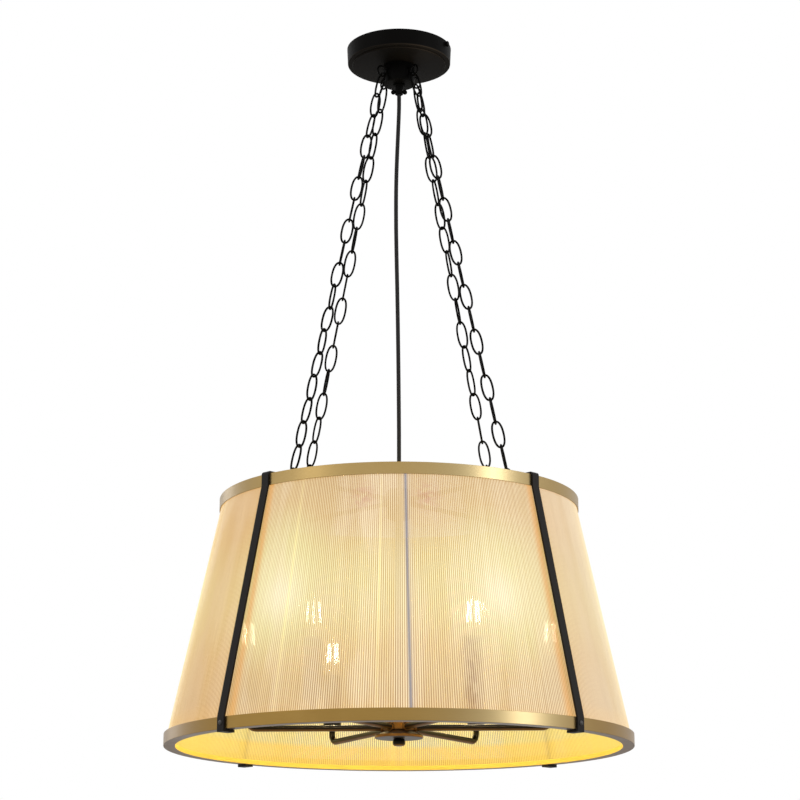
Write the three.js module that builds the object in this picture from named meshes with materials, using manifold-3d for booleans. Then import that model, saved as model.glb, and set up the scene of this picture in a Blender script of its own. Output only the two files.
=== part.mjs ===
import * as THREE from 'three';
import { mergeVertices } from 'three/addons/utils/BufferGeometryUtils.js';
import Module from 'manifold-3d';

// Drum chandelier, in millimetres.
// The origin is the centre of the ceiling face, +Z points up and the front is -Y.
// Angles are in degrees, and azimuths run from the front towards +X.

// Overall sizes
const total_drop = 964.3;
const shade_height = 321.3;
const bottom_ring_radius = 300;
const top_ring_radius = 235.2;

// Clearances, overruns and how deep joined solids sink into each other
const fit_gap = 0.3;
const swing_clearance = 0.25;
const fuse_depth = 0.5;
const cut_overrun = 2;

// Evenly spaced places, counted from the front towards +X
const corners = spaced_round(['front_right', 'rear_right', 'rear_left', 'front_left']);
const arm_places = spaced_round([
  'front_right',
  'right',
  'rear_right',
  'rear_left',
  'left',
  'front_left',
]);

// Counts
const ring_sides = 60;
const canopy_sides = 32;
const turned_sides = 20;
const sleeve_sides = 16;
const wire_sides = 4;
const link_steps = 8;
const eye_steps = 10;
const rod_sides = 8;
const cord_sides = 8;
const cord_steps = 34;
const bend_steps = 4;
const link_count = 18;
const nut_sides = 6;

// Brass rings and the shade between them
const band_height = 15;
const band_wall = 1.2;
const ring_flange = 15;
const ring_lip_height = 6;
const shade_clearance = 0.5;
const shade_wall = 2.4;
const shade_top_inset = 1;
const seam_angle = 2.5;

// Straps outside the shade, with their radial bars
const strap_width = 12;
const strap_thickness = 2.7;
const strap_bend = 4;
const strap_foot = 15;
const strap_foot_thickness = 3;
const rivet_radius = 3;
const rivet_height = 1.4;
const frame_turn_angle = 0.6;

// Top hub, on the axis where the four bars meet
const top_hub_radius = 16;
const top_hub_height = 40;
const top_hub_over_bars = 17;
const top_hub_flange_radius = 23;
const top_hub_flange_height = 3;
const top_hub_chamfer = 3;

// Eyes that the chains hook into
const eye_wire_radius = 1.3;
const lower_eye_ring_radius = 5;
const lower_eye_inset = 45.3;
const lower_eye_neck = 0.5;
const eye_shank_radius = 1.6;
const eye_nut_radius = 3.4;
const eye_nut_height = 2.4;
const upper_eye_ring_radius = 7.6;
const upper_eye_reach = 31;
const upper_eye_drop = 46.3;
const upper_eye_shank_depth = 6;
const upper_shank_rise_share = 0.8;

// Chain links, and the play that the hanging joints need
const link_width = 16.5;
const link_wire_radius = 1.25;
const sway_limit_angle = 3;
const canopy_turn_angle = -4;
const twist_angles = {
  front_right: [-45, -45, -45, -45, -42, -32, 0],
  rear_right: [-60, -50, 5, 42, 95, 145, 180],
  rear_left: [92, 82, 50, 49, 34, 14, 2],
  front_left: [90, 94, 112, 138, 142, 172, 184],
};

// Ceiling bracket and canopy
const canopy_radius = 72;
const canopy_foot_radius = 70.9;
const canopy_depth = 24.8;
const canopy_wall = 1.2;
const canopy_corner = 2;
const canopy_step_radius = 64.5;
const canopy_step_depth = 2;
const canopy_step_corner = 1.4;
const bracket_width = 16;
const bracket_thickness = 2;
const bracket_tab = 9;
const bracket_clearance = 0.6;
const stud_radius = 5;
const stud_in_hub = 8;
const canopy_screw_angle = 64;
const canopy_screw_drop = 5;
const canopy_screw_radius = 1.8;
const canopy_screw_head_radius = 3.6;
const canopy_screw_head_height = 3;

// Canopy hub and cord grip
const canopy_hub_radius = 21.5;
const canopy_hub_height = 26.9;
const grip_flange_radius = 8;
const grip_flange_height = 2.4;
const grip_radius = 5.5;
const grip_length = 14.3;
const grip_screw_radius = 3.3;
const grip_screw_reach = 8;
const grip_screw_rise = 3.6;

// Power cord, by the points that it hangs through
const cord_radius = 2.75;
const cord_route = [
  [0, 0, -66.9],
  [0, 0, -85],
  [-0.6, 0, -105],
  [-1.6, 0, -130],
  [-2.8, 0, -160],
  [-3.7, 0, -190],
  [-4.1, 0, -220],
  [-4, 0, -260],
  [-3.4, 0, -300],
  [-2.6, 0, -340],
  [-1.9, 0, -380],
  [-1.3, 0, -420],
  [-0.8, 0, -460],
  [-0.4, 0, -500],
  [-0.1, 0, -540],
  [0, 0, -580],
  [0, 0, -625.4],
];

// Stem, arm hub and finial
const stem_radius = 5;
const arm_hub_height = 22;
const arm_hub_radius = 20;
const arm_hub_neck_radius = 9.5;
const arm_hub_neck_height = 9;
const arm_hub_slope = 2.2;
const hub_cover_radius = 31;
const hub_cover_height = 9.5;
const hub_cover_rim = 4;
const hub_cover_edge = 1;
const finial_radius = 8.1;
const finial_height = 9.2;
const finial_shank_radius = 3;
const finial_shank_in_hub = 6;
const finial_drop = 3;

// Arms with their candle lights
const arm_radius = 4;
const arm_turn_angle = -2.3;
const arm_reach = 195.4;
const arm_height = 26;
const arm_bend = 12;
const arm_rise = 16;
const arm_in_hub = 9;
const seat_radius = 12;
const seat_height = 2.4;
const holder_radius = 9.8;
const holder_height = 68;
const socket_depth = 25;
const socket_clearance = 0.6;
const sleeve_radius = 12;
const sleeve_wall = 1.6;
const sleeve_height = 72;
const bulb_base_radius = 5.9;
const bulb_base_length = 24;
const bulb_radius = 17.5;
const bulb_height = 83;
const bulb_neck_radius = 8.5;

// Bulb outline above its base: shares of the height, and of the radius
const bulb_outline_shares = [
  [0.13, 0.72],
  [0.25, 0.94],
  [0.37, 1],
  [0.52, 0.91],
  [0.68, 0.64],
  [0.84, 0.29],
];

// Finial knob outline: shares of the radius, and of the height
const finial_outline_shares = [
  [0.6, 0.06],
  [0.92, 0.28],
  [1, 0.55],
  [0.85, 1],
];

// How far a corner's middle lies in from its point, as a share of its radius
const corner_share = 1 - Math.SQRT1_2;

// Reaches and levels worked out from the sizes
const lower_eye_reach = top_ring_radius - lower_eye_inset;
const ring_z = -total_drop;
const shade_top_z = ring_z + shade_height;
const bar_z = shade_top_z + fit_gap;
const bar_top_z = bar_z + strap_thickness;
const hub_top_z = -canopy_depth - fit_gap;
const hub_low_z = hub_top_z - canopy_hub_height;
const upper_contact_z = -upper_eye_drop;
const finial_z = ring_z + finial_drop;
const cover_z = finial_z + finial_height + fit_gap;
const arm_hub_z = cover_z + hub_cover_height + fit_gap;
const arm_z = ring_z + arm_height;
const seat_z = arm_z + arm_rise + fit_gap;
const top_hub_z = bar_z + top_hub_over_bars - top_hub_height;

const right_angle = Math.PI / 2;
const degree = Math.PI / 180;

const wasm = await Module();
wasm.setup();

const group = new THREE.Group();

// Each name with its azimuth, the first half a spacing from the front
function spaced_round(names) {
  const spacing = 360 / names.length;
  return names.map((name, index) => [name, (index + 0.5) * spacing]);
}

const finishes = {
  black: { color: 0x2b2825, roughness: 0.5, metalness: 0.6 },
  brass: { color: 0xb6955a, roughness: 0.32, metalness: 1 },
  shade: { color: 0xf0d2a0, roughness: 0.55, metalness: 0 },
  zinc: { color: 0x8f9296, roughness: 0.45, metalness: 0.9 },
  cord: { color: 0x201f1f, roughness: 0.75, metalness: 0 },
  holder: { color: 0x3a3531, roughness: 0.6, metalness: 0 },
  bulb: { color: 0xffe3ae, roughness: 0.1, metalness: 0 },
};

function place(name, geometry, finish, parent = group) {
  const mesh = new THREE.Mesh(geometry, new THREE.MeshStandardMaterial(finishes[finish]));
  mesh.name = name;
  parent.add(mesh);
  return mesh;
}

// A closed geometry as one solid, without doubled corners and slivers
function solid(geometry) {
  const plain = geometry.clone();
  plain.deleteAttribute('normal');
  plain.deleteAttribute('uv');
  const merged = mergeVertices(plain);
  const indices = merged.index.array;
  const kept = [];
  for (let face = 0; face < indices.length / 3; face += 1) {
    const [a, b, c] = indices.slice(3 * face, 3 * face + 3);
    if (a !== b && b !== c && c !== a) kept.push(a, b, c);
  }
  return new wasm.Manifold(new wasm.Mesh({
    numProp: 3,
    vertProperties: new Float32Array(merged.attributes.position.array),
    triVerts: new Uint32Array(kept),
  }));
}

function geometry_of(manifold) {
  const mesh = manifold.getMesh();
  const geometry = new THREE.BufferGeometry();
  geometry.setAttribute('position', new THREE.BufferAttribute(mesh.vertProperties, 3));
  geometry.setIndex(new THREE.BufferAttribute(mesh.triVerts, 1));
  geometry.computeVertexNormals();
  return geometry;
}

function join(...geometries) {
  return geometry_of(geometries.map(solid).reduce((all, next) => all.add(next)));
}

function cut(geometry, ...cutters) {
  return geometry_of(cutters.map(solid).reduce((rest, next) => rest.subtract(next), solid(geometry)));
}

// A turned piece round the Z axis, from [radius, height] points that run up its outside
function turned(points, sides) {
  const profile = points.map(([radius, height]) => new THREE.Vector2(radius, height));
  return new THREE.LatheGeometry(profile, sides).rotateX(right_angle);
}

// A round bar along Z, standing on the given height
function bar(radius, length, sides = rod_sides) {
  return new THREE.CylinderGeometry(radius, radius, length, sides)
    .rotateX(right_angle)
    .translate(0, 0, length / 2);
}

// A round bar along X, starting at the given distance from the axis
function radial_bar(radius, start, length, height) {
  return bar(radius, length).rotateY(right_angle).translate(start, 0, height);
}

function outward(azimuth) {
  return new THREE.Vector3(Math.sin(azimuth * degree), -Math.cos(azimuth * degree), 0);
}

function at_azimuth(reach, azimuth, height) {
  return outward(azimuth).multiplyScalar(reach).setZ(height);
}

// A group whose +X points out along the azimuth
function azimuth_group(azimuth) {
  const turned_group = new THREE.Group();
  turned_group.rotation.z = azimuth * degree - right_angle;
  group.add(turned_group);
  return turned_group;
}

// A path through given stations, with a section at each of them
class StationPath extends THREE.Curve {
  constructor(stations) {
    super();
    this.stations = stations;
  }

  getUtoTmapping(share) {
    return share;
  }

  getPoint(share, target = new THREE.Vector3()) {
    const last = this.stations.length - 1;
    const step = Math.min(Math.floor(share * last), last - 1);
    return target.lerpVectors(this.stations[step], this.stations[step + 1], share * last - step);
  }

  getTangent(share, target = new THREE.Vector3()) {
    const last = this.stations.length - 1;
    const here = Math.round(share * last);
    const back = this.direction(Math.max(here - 1, 0));
    return target.copy(back).add(this.direction(Math.min(here, last - 1))).normalize();
  }

  direction(step) {
    return this.stations[step + 1].clone().sub(this.stations[step]).normalize();
  }
}

function tube(stations, radius, sides) {
  const section = new THREE.Shape();
  for (let side = 0; side < sides; side += 1) {
    const angle = (2 * Math.PI * side) / sides;
    const x = radius * Math.cos(angle);
    const y = radius * Math.sin(angle);
    if (side === 0) section.moveTo(x, y);
    else section.lineTo(x, y);
  }
  const settings = {
    steps: stations.length - 1,
    bevelEnabled: false,
    extrudePath: new StationPath(stations),
  };
  return new THREE.ExtrudeGeometry(section, settings);
}

function outline(points) {
  return new THREE.Shape(points.map(([x, y]) => new THREE.Vector2(x, y)));
}

// A flat outline of [reach, height] points, made into a bar of the given width across X
function upright(points, width) {
  return new THREE.ExtrudeGeometry(outline(points), { depth: width, bevelEnabled: false })
    .rotateX(right_angle)
    .translate(0, width / 2, 0);
}

// Ring and oval link, both of bent wire

// How far the inside of a faceted wire ring lies from its centre
function ring_inside(radius, wire, steps) {
  return (radius - wire) * Math.cos(Math.PI / steps);
}

// A wire ring that stands on edge in the XZ plane, with flats inside and outside
function wire_ring(radius, wire, steps) {
  const corner_reach = wire / Math.cos(Math.PI / wire_sides);
  const section = [];
  for (let side = 0; side <= wire_sides; side += 1) {
    const angle = ((side + 0.5) * 2 * Math.PI) / wire_sides;
    section.push([radius + corner_reach * Math.cos(angle), corner_reach * Math.sin(angle)]);
  }
  return turned(section, steps).rotateX(right_angle).rotateY(Math.PI / steps);
}

const link_radius = link_width / 2 / Math.cos(Math.PI / link_steps) - link_wire_radius;
const link_inside = ring_inside(link_radius, link_wire_radius, link_steps);

// An oval link along Z, whose inside reaches from the low to the high height
function oval_link(low, high, twist) {
  const geometry = wire_ring(link_radius, link_wire_radius, link_steps);
  const stretch = (high - low) / 2 - link_inside;
  const position = geometry.attributes.position;
  for (let at = 0; at < position.count; at += 1) {
    position.setZ(at, position.getZ(at) + stretch * Math.sign(position.getZ(at)));
  }
  return geometry.rotateZ(twist).translate(0, 0, (low + high) / 2);
}

// Places of the four chains

const lower_eye_inside = ring_inside(lower_eye_ring_radius, eye_wire_radius, eye_steps);
const upper_eye_inside = ring_inside(upper_eye_ring_radius, eye_wire_radius, eye_steps);
const lower_eye_outside = (lower_eye_ring_radius + eye_wire_radius) * Math.cos(Math.PI / eye_steps);
const lower_eye_z = bar_top_z + lower_eye_neck + lower_eye_outside;
const lower_contact_z = lower_eye_z + lower_eye_inside;

function chain_line(azimuth) {
  const start = at_azimuth(lower_eye_reach, azimuth + frame_turn_angle, lower_contact_z);
  const end = at_azimuth(upper_eye_reach, azimuth + canopy_turn_angle, upper_contact_z);
  const along = end.clone().sub(start);
  const pitch = along.length() / link_count;
  along.normalize();
  const across = along.clone().cross(outward(azimuth)).normalize();
  const radial = across.clone().cross(along);
  const turn = new THREE.Matrix4().makeBasis(radial, across, along);
  return { start, pitch, turn };
}

function twist_of(corner, link) {
  const angles = twist_angles[corner];
  const along = link / link_count * (angles.length - 1);
  const step = Math.floor(along);
  const twist = THREE.MathUtils.lerp(angles[step], angles[step + 1], along - step);
  return twist * degree + (link % 2) * right_angle;
}

// A leaning link dips on one side of the level wire that it hooks
const chain_spread = lower_eye_reach - upper_eye_reach;
const lean_share = chain_spread / (upper_contact_z - lower_contact_z);
const lower_hook_gap = fit_gap + eye_wire_radius * lean_share;

// The play at the two hanging joints lets the links swing without meeting
const sway_share = Math.sin(sway_limit_angle * degree) * Math.SQRT1_2;
const eye_play = upper_eye_reach * sway_share + link_wire_radius * lean_share + swing_clearance;
const link_play = (upper_eye_reach + chain_spread / link_count) * sway_share + swing_clearance;

function seat_on_line(mesh, line) {
  mesh.position.copy(line.start);
  mesh.quaternion.setFromRotationMatrix(line.turn);
}

function make_chains() {
  for (const [corner, azimuth] of corners) {
    const line = chain_line(azimuth);
    const links = [];
    for (let link = 0; link < link_count - 1; link += 1) {
      const low = link === 0 ? -lower_hook_gap : link * line.pitch + fuse_depth / 2;
      const end = (link + 1) * line.pitch;
      const high = link === link_count - 2 ? end + link_play / 2 : end - fuse_depth / 2;
      links.push(oval_link(low, high, twist_of(corner, link)));
    }
    seat_on_line(place(`chain_${corner}`, join(...links), 'black'), line);
    const low = (link_count - 1) * line.pitch - link_play / 2;
    const high = link_count * line.pitch + eye_play;
    const top_link = oval_link(low, high, twist_of(corner, link_count - 1));
    seat_on_line(place(`top_link_${corner}`, top_link, 'black'), line);
  }
}

// Eyes at both ends of each chain

function lower_eye(twist) {
  const ring = wire_ring(lower_eye_ring_radius, eye_wire_radius, eye_steps)
    .rotateZ(twist)
    .translate(0, 0, lower_eye_z);
  const nut_z = bar_z - fit_gap - eye_nut_height;
  const shank = bar(eye_shank_radius, lower_eye_z - lower_eye_inside - nut_z).translate(0, 0, nut_z);
  const nut = bar(eye_nut_radius, eye_nut_height, nut_sides).translate(0, 0, nut_z);
  return join(ring, shank, nut);
}

function upper_shank_bar(radius, overrun) {
  const height = upper_contact_z + upper_eye_inside + upper_eye_ring_radius * upper_shank_rise_share;
  const start = canopy_hub_radius - upper_eye_shank_depth;
  const ring_side = Math.sqrt(1 - upper_shank_rise_share ** 2) * upper_eye_ring_radius;
  const length = upper_eye_reach - ring_side - start;
  return radial_bar(radius, start - overrun, length + overrun, height);
}

function upper_eye() {
  const ring = wire_ring(upper_eye_ring_radius, eye_wire_radius, eye_steps)
    .translate(upper_eye_reach, 0, upper_contact_z + upper_eye_inside);
  return join(ring, upper_shank_bar(eye_shank_radius, 0));
}

function make_eyes() {
  for (const [corner, azimuth] of corners) {
    const lower = azimuth_group(azimuth + frame_turn_angle);
    const eye = place(`lower_eye_${corner}`, lower_eye(twist_of(corner, 1)), 'black', lower);
    eye.position.x = lower_eye_reach;
    place(`upper_eye_${corner}`, upper_eye(), 'black', azimuth_group(azimuth + canopy_turn_angle));
  }
}

// Ceiling end

function make_canopy() {
  const rim_z = -canopy_depth + canopy_step_depth;
  const hole = stud_radius + fit_gap;
  const flat_radius = canopy_step_radius - canopy_step_corner;
  const shell = turned([
    [hole, -canopy_depth],
    [flat_radius, -canopy_depth],
    [canopy_step_radius - canopy_step_corner * corner_share, -canopy_depth + canopy_step_corner * corner_share],
    [canopy_step_radius, -canopy_depth + canopy_step_corner],
    [canopy_step_radius, rim_z],
    [canopy_foot_radius - canopy_corner, rim_z],
    [canopy_foot_radius - canopy_corner * corner_share, rim_z + canopy_corner * corner_share],
    [canopy_foot_radius, rim_z + canopy_corner],
    [canopy_radius, 0],
    [canopy_radius - canopy_wall, 0],
    [canopy_foot_radius - canopy_wall, rim_z + canopy_wall],
    [canopy_step_radius - canopy_wall, rim_z + canopy_wall],
    [canopy_step_radius - canopy_wall, -canopy_depth + canopy_wall],
    [hole, -canopy_depth + canopy_wall],
    [hole, -canopy_depth],
  ], canopy_sides);
  const cutter_start = canopy_foot_radius - canopy_wall - cut_overrun;
  const cutter_length = canopy_wall + 2 * cut_overrun + canopy_radius - canopy_foot_radius;
  const hole_radius = canopy_screw_radius + fit_gap;
  const cutters = [0, 180].map((turn) => radial_bar(
    hole_radius,
    cutter_start,
    cutter_length,
    -canopy_screw_drop,
  ).rotateZ(turn * degree));
  const home = azimuth_group(canopy_screw_angle);
  place('canopy', cut(shell, ...cutters), 'black', home);
  make_bracket(home);
  make_canopy_screws(home);
}

function make_bracket(home) {
  const half = canopy_foot_radius - canopy_wall - bracket_clearance;
  const inside = half - bracket_thickness;
  const strip = upright([
    [-half, -bracket_tab],
    [-inside, -bracket_tab],
    [-inside, -bracket_thickness],
    [inside, -bracket_thickness],
    [inside, -bracket_tab],
    [half, -bracket_tab],
    [half, 0],
    [-half, 0],
  ], bracket_width);
  const stud_length = -hub_top_z + stud_in_hub - bracket_thickness / 2;
  const stud = bar(stud_radius, stud_length, turned_sides)
    .translate(0, 0, hub_top_z - stud_in_hub);
  const cutter_length = bracket_thickness + 2 * cut_overrun;
  const cutters = [0, 180].map((turn) => radial_bar(
    canopy_screw_radius + fit_gap,
    inside - cut_overrun,
    cutter_length,
    -canopy_screw_drop,
  ).rotateZ(turn * degree));
  place('mounting_bracket', cut(join(strip, stud), ...cutters), 'zinc', home);
}

function make_canopy_screws(home) {
  const start = canopy_foot_radius - canopy_wall - bracket_clearance - 2 * bracket_thickness;
  const seat = canopy_radius + fit_gap;
  const shank = radial_bar(canopy_screw_radius, start, seat - start + fuse_depth, 0);
  const head = bar(canopy_screw_head_radius, canopy_screw_head_height, turned_sides)
    .rotateY(right_angle)
    .translate(seat, 0, 0);
  for (const [side, turn] of [['right', 0], ['left', 180]]) {
    const screw = place(`canopy_screw_${side}`, join(shank, head), 'black', home);
    screw.position.z = -canopy_screw_drop;
    screw.rotation.z = turn * degree;
  }
}

function make_canopy_hub() {
  const bore = stud_radius + fit_gap;
  const bore_z = hub_top_z - stud_in_hub - fit_gap;
  const body = turned([
    [0, hub_low_z],
    [canopy_hub_radius - fuse_depth, hub_low_z],
    [canopy_hub_radius, hub_low_z + fuse_depth],
    [canopy_hub_radius, hub_top_z],
    [bore, hub_top_z],
    [bore, bore_z],
    [0, bore_z],
  ], canopy_sides);
  const cutters = corners.map(([, azimuth]) => upper_shank_bar(
    eye_shank_radius + fit_gap,
    fit_gap,
  ).rotateZ((azimuth + canopy_turn_angle) * degree - right_angle));
  place('canopy_hub', cut(body, ...cutters), 'black');
}

function make_cord_grip() {
  const top_z = hub_low_z - fit_gap;
  const low_z = top_z - grip_length;
  const flange_z = top_z - grip_flange_height;
  const body = turned([
    [0, low_z],
    [grip_radius, low_z],
    [grip_radius, flange_z],
    [grip_flange_radius, flange_z],
    [grip_flange_radius, top_z],
    [0, top_z],
  ], turned_sides);
  const screw_z = low_z + grip_screw_rise;
  const shank = radial_bar(grip_screw_radius / 2, -grip_screw_reach, 2 * grip_screw_reach, screw_z);
  const heads = [-grip_screw_reach, grip_screw_reach].map((x) => new THREE.SphereGeometry(
    grip_screw_radius,
    rod_sides,
    rod_sides / 2,
  ).translate(x, 0, screw_z));
  place('cord_grip', join(body, shank, ...heads), 'black');
}

// Power cord, from the grip down to the top hub

function make_cord() {
  const curve = new THREE.CatmullRomCurve3(cord_route.map((point) => new THREE.Vector3(...point)));
  place('power_cord', tube(curve.getSpacedPoints(cord_steps), cord_radius, cord_sides), 'cord');
}

// Frame: hub, straps, rings and shade

function make_top_hub() {
  const flange_z = bar_z - fit_gap - top_hub_flange_height;
  const top_z = top_hub_z + top_hub_height;
  place('top_hub', turned([
    [0, top_hub_z],
    [top_hub_radius - top_hub_chamfer, top_hub_z],
    [top_hub_radius, top_hub_z + top_hub_chamfer],
    [top_hub_radius, flange_z],
    [top_hub_flange_radius, flange_z],
    [top_hub_flange_radius, flange_z + top_hub_flange_height],
    [top_hub_radius, flange_z + top_hub_flange_height],
    [top_hub_radius, top_z - top_hub_chamfer],
    [top_hub_radius - top_hub_chamfer, top_z],
    [0, top_z],
  ], turned_sides), 'black');
}

function make_straps() {
  const start = top_hub_radius + fit_gap;
  const top_reach = top_ring_radius + fit_gap;
  const low_reach = bottom_ring_radius + fit_gap;
  const foot_z = ring_z - fit_gap;
  const foot_end = low_reach - strap_foot;
  const bend_inset = strap_bend * corner_share;
  const top_band_z = shade_top_z - band_height;
  const low_band_z = ring_z + band_height;
  const profile = [
    [start, bar_z],
    [top_reach, bar_z],
    [top_reach, top_band_z],
    [low_reach, low_band_z],
    [low_reach, foot_z],
    [foot_end, foot_z],
    [foot_end, foot_z - strap_foot_thickness],
    [low_reach + strap_thickness, foot_z - strap_foot_thickness],
    [low_reach + strap_thickness, low_band_z],
    [top_reach + strap_thickness, top_band_z],
    [top_reach + strap_thickness, bar_top_z - strap_bend],
    [top_reach + strap_thickness - bend_inset, bar_top_z - bend_inset],
    [top_reach + strap_thickness - strap_bend, bar_top_z],
    [start, bar_top_z],
  ].reverse();
  const rivet_start = low_reach + strap_thickness - fuse_depth;
  for (const [corner, azimuth] of corners) {
    const rivet = radial_bar(
      rivet_radius,
      rivet_start,
      rivet_height + fuse_depth,
      ring_z + band_height / 2,
    );
    const hole = bar(eye_shank_radius + fit_gap, strap_thickness + 2 * cut_overrun)
      .translate(lower_eye_reach, 0, bar_z - cut_overrun);
    const blade = cut(join(upright(profile, strap_width), rivet), hole);
    place(`strap_${corner}`, blade, 'black', azimuth_group(azimuth + frame_turn_angle));
  }
}

function make_rings() {
  const top_inner = top_ring_radius - band_wall;
  const top_band_z = shade_top_z - band_height;
  place('top_ring', turned([
    [top_inner, top_band_z],
    [top_ring_radius, top_band_z],
    [top_ring_radius, shade_top_z],
    [top_inner, shade_top_z],
    [top_inner, top_band_z],
  ], ring_sides), 'brass');
  const low_inner = bottom_ring_radius - band_wall;
  const flange_reach = bottom_ring_radius - ring_flange;
  const flange_z = ring_z + band_wall;
  place('bottom_ring', turned([
    [flange_reach, ring_z],
    [bottom_ring_radius, ring_z],
    [bottom_ring_radius, ring_z + band_height],
    [low_inner, ring_z + band_height],
    [low_inner, flange_z],
    [flange_reach + band_wall, flange_z],
    [flange_reach + band_wall, ring_z + ring_lip_height],
    [flange_reach, ring_z + ring_lip_height],
    [flange_reach, ring_z],
  ], ring_sides), 'brass');
}

function make_shade() {
  const low_z = ring_z + band_wall + fit_gap;
  const low_radius = bottom_ring_radius - band_wall - shade_clearance;
  const band_z = shade_top_z - band_height;
  const band_radius = top_ring_radius - band_wall - shade_clearance;
  const top_z = shade_top_z - shade_top_inset;
  const lean = (low_radius - band_radius) / (band_z - low_z);
  const top_radius = band_radius - lean * (top_z - band_z);
  const shell = solid(turned([
    [low_radius - shade_wall, low_z],
    [low_radius, low_z],
    [top_radius, top_z],
    [top_radius - shade_wall, top_z],
    [low_radius - shade_wall, low_z],
  ], ring_sides));
  const home = azimuth_group(seam_angle);
  const size = 2 * bottom_ring_radius;
  for (const [side, sign] of [['right', 1], ['left', -1]]) {
    const half = new THREE.BoxGeometry(2 * size, size, 2 * shade_height)
      .translate(0, sign * (size / 2 + fit_gap), ring_z);
    place(`shade_panel_${side}`, geometry_of(shell.intersect(solid(half))), 'shade', home);
  }
}

// Light cluster: stem, hub, arms, holders, sleeves and bulbs

function arm_stations(start) {
  const bend_centre = arm_reach - arm_bend;
  const stations = [new THREE.Vector3(start, 0, arm_z)];
  for (let step = 0; step <= bend_steps; step += 1) {
    const angle = (step / bend_steps) * right_angle;
    const x = bend_centre + arm_bend * Math.sin(angle);
    const z = arm_z + arm_bend * (1 - Math.cos(angle));
    stations.push(new THREE.Vector3(x, 0, z));
  }
  stations.push(new THREE.Vector3(arm_reach, 0, arm_z + arm_rise));
  return stations;
}

function make_arm_hub() {
  const shoulder_z = arm_hub_z + arm_hub_height - arm_hub_neck_height;
  const bore = finial_shank_radius + fit_gap;
  const bore_z = arm_hub_z + finial_shank_in_hub + fit_gap;
  const top_z = arm_hub_z + arm_hub_height;
  const body = turned([
    [bore, arm_hub_z],
    [arm_hub_radius, arm_hub_z],
    [arm_hub_radius, shoulder_z],
    [arm_hub_neck_radius, shoulder_z + arm_hub_slope],
    [arm_hub_neck_radius, top_z],
    [0, top_z],
    [0, bore_z],
    [bore, bore_z],
    [bore, arm_hub_z],
  ], turned_sides);
  const start = arm_hub_radius - arm_in_hub - fit_gap;
  const holes = arm_places.map(([, azimuth]) => radial_bar(
    arm_radius + fit_gap,
    start,
    arm_in_hub + cut_overrun,
    arm_z,
  ).rotateZ((azimuth + arm_turn_angle) * degree - right_angle));
  place('arm_hub', cut(body, ...holes), 'black');
}

function make_hub_cover() {
  const hole = finial_shank_radius + fit_gap;
  const top_z = cover_z + hub_cover_height;
  place('hub_cover', turned([
    [hole, cover_z],
    [hub_cover_radius - hub_cover_edge, cover_z],
    [hub_cover_radius, cover_z + hub_cover_edge],
    [hub_cover_radius, cover_z + hub_cover_rim],
    [arm_hub_radius, top_z],
    [hole, top_z],
    [hole, cover_z],
  ], canopy_sides), 'black');
}

function make_finial() {
  const shank_top = arm_hub_z + finial_shank_in_hub;
  place('finial', turned([
    [0, finial_z],
    ...finial_outline_shares.map(([radius, height]) => [
      finial_radius * radius,
      finial_z + finial_height * height,
    ]),
    [finial_shank_radius, finial_z + finial_height],
    [finial_shank_radius, shank_top],
    [0, shank_top],
  ], turned_sides), 'black');
}

function make_stem() {
  const low_z = arm_hub_z + arm_hub_height + fit_gap;
  const length = top_hub_z - fit_gap - low_z;
  place('stem', bar(stem_radius, length, turned_sides).translate(0, 0, low_z), 'black');
}

function holder_geometry() {
  const socket = bulb_base_radius + socket_clearance;
  const top = seat_height + holder_height;
  return turned([
    [0, 0],
    [seat_radius, 0],
    [seat_radius, seat_height],
    [holder_radius, seat_height],
    [holder_radius, top],
    [socket, top],
    [socket, top - socket_depth],
    [0, top - socket_depth],
  ], sleeve_sides);
}

function sleeve_geometry() {
  const inner = sleeve_radius - sleeve_wall;
  return turned([
    [inner, 0],
    [sleeve_radius, 0],
    [sleeve_radius, sleeve_height],
    [inner, sleeve_height],
    [inner, 0],
  ], sleeve_sides);
}

// The bulb stands on the rim of its sleeve's mouth, with its base in the socket
function bulb_geometry() {
  const neck_z = sleeve_height - holder_height;
  const glass = bulb_outline_shares.map(([height, radius]) => [
    bulb_radius * radius,
    neck_z + bulb_height * height,
  ]);
  return turned([
    [0, -bulb_base_length],
    [bulb_base_radius, -bulb_base_length],
    [bulb_base_radius, fit_gap],
    [bulb_neck_radius, fit_gap],
    [bulb_neck_radius, neck_z],
    ...glass,
    [0, neck_z + bulb_height],
  ], sleeve_sides);
}

function make_lights() {
  for (const [side, azimuth] of arm_places) {
    const home = azimuth_group(azimuth + arm_turn_angle);
    const start = arm_hub_radius - arm_in_hub;
    place(`arm_${side}`, tube(arm_stations(start), arm_radius, rod_sides), 'black', home);
    const light = new THREE.Group();
    light.position.set(arm_reach, 0, seat_z);
    home.add(light);
    place(`lampholder_${side}`, holder_geometry(), 'holder', light);
    place(`candle_sleeve_${side}`, sleeve_geometry(), 'black', light).position.z = seat_height + fit_gap;
    place(`bulb_${side}`, bulb_geometry(), 'bulb', light).position.z = seat_height + holder_height;
  }
}

make_canopy();
make_canopy_hub();
make_cord_grip();
make_cord();
make_eyes();
make_chains();
make_top_hub();
make_straps();
make_rings();
make_shade();
make_stem();
make_arm_hub();
make_hub_cover();
make_finial();
make_lights();

export default group;
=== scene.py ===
"""Looks of a drum chandelier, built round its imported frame.

Lengths are in metres and angles in degrees. Azimuths run from the front, -Y, towards +X.
"""

import math

import bmesh
import bpy
from mathutils import Matrix, Vector


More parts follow.
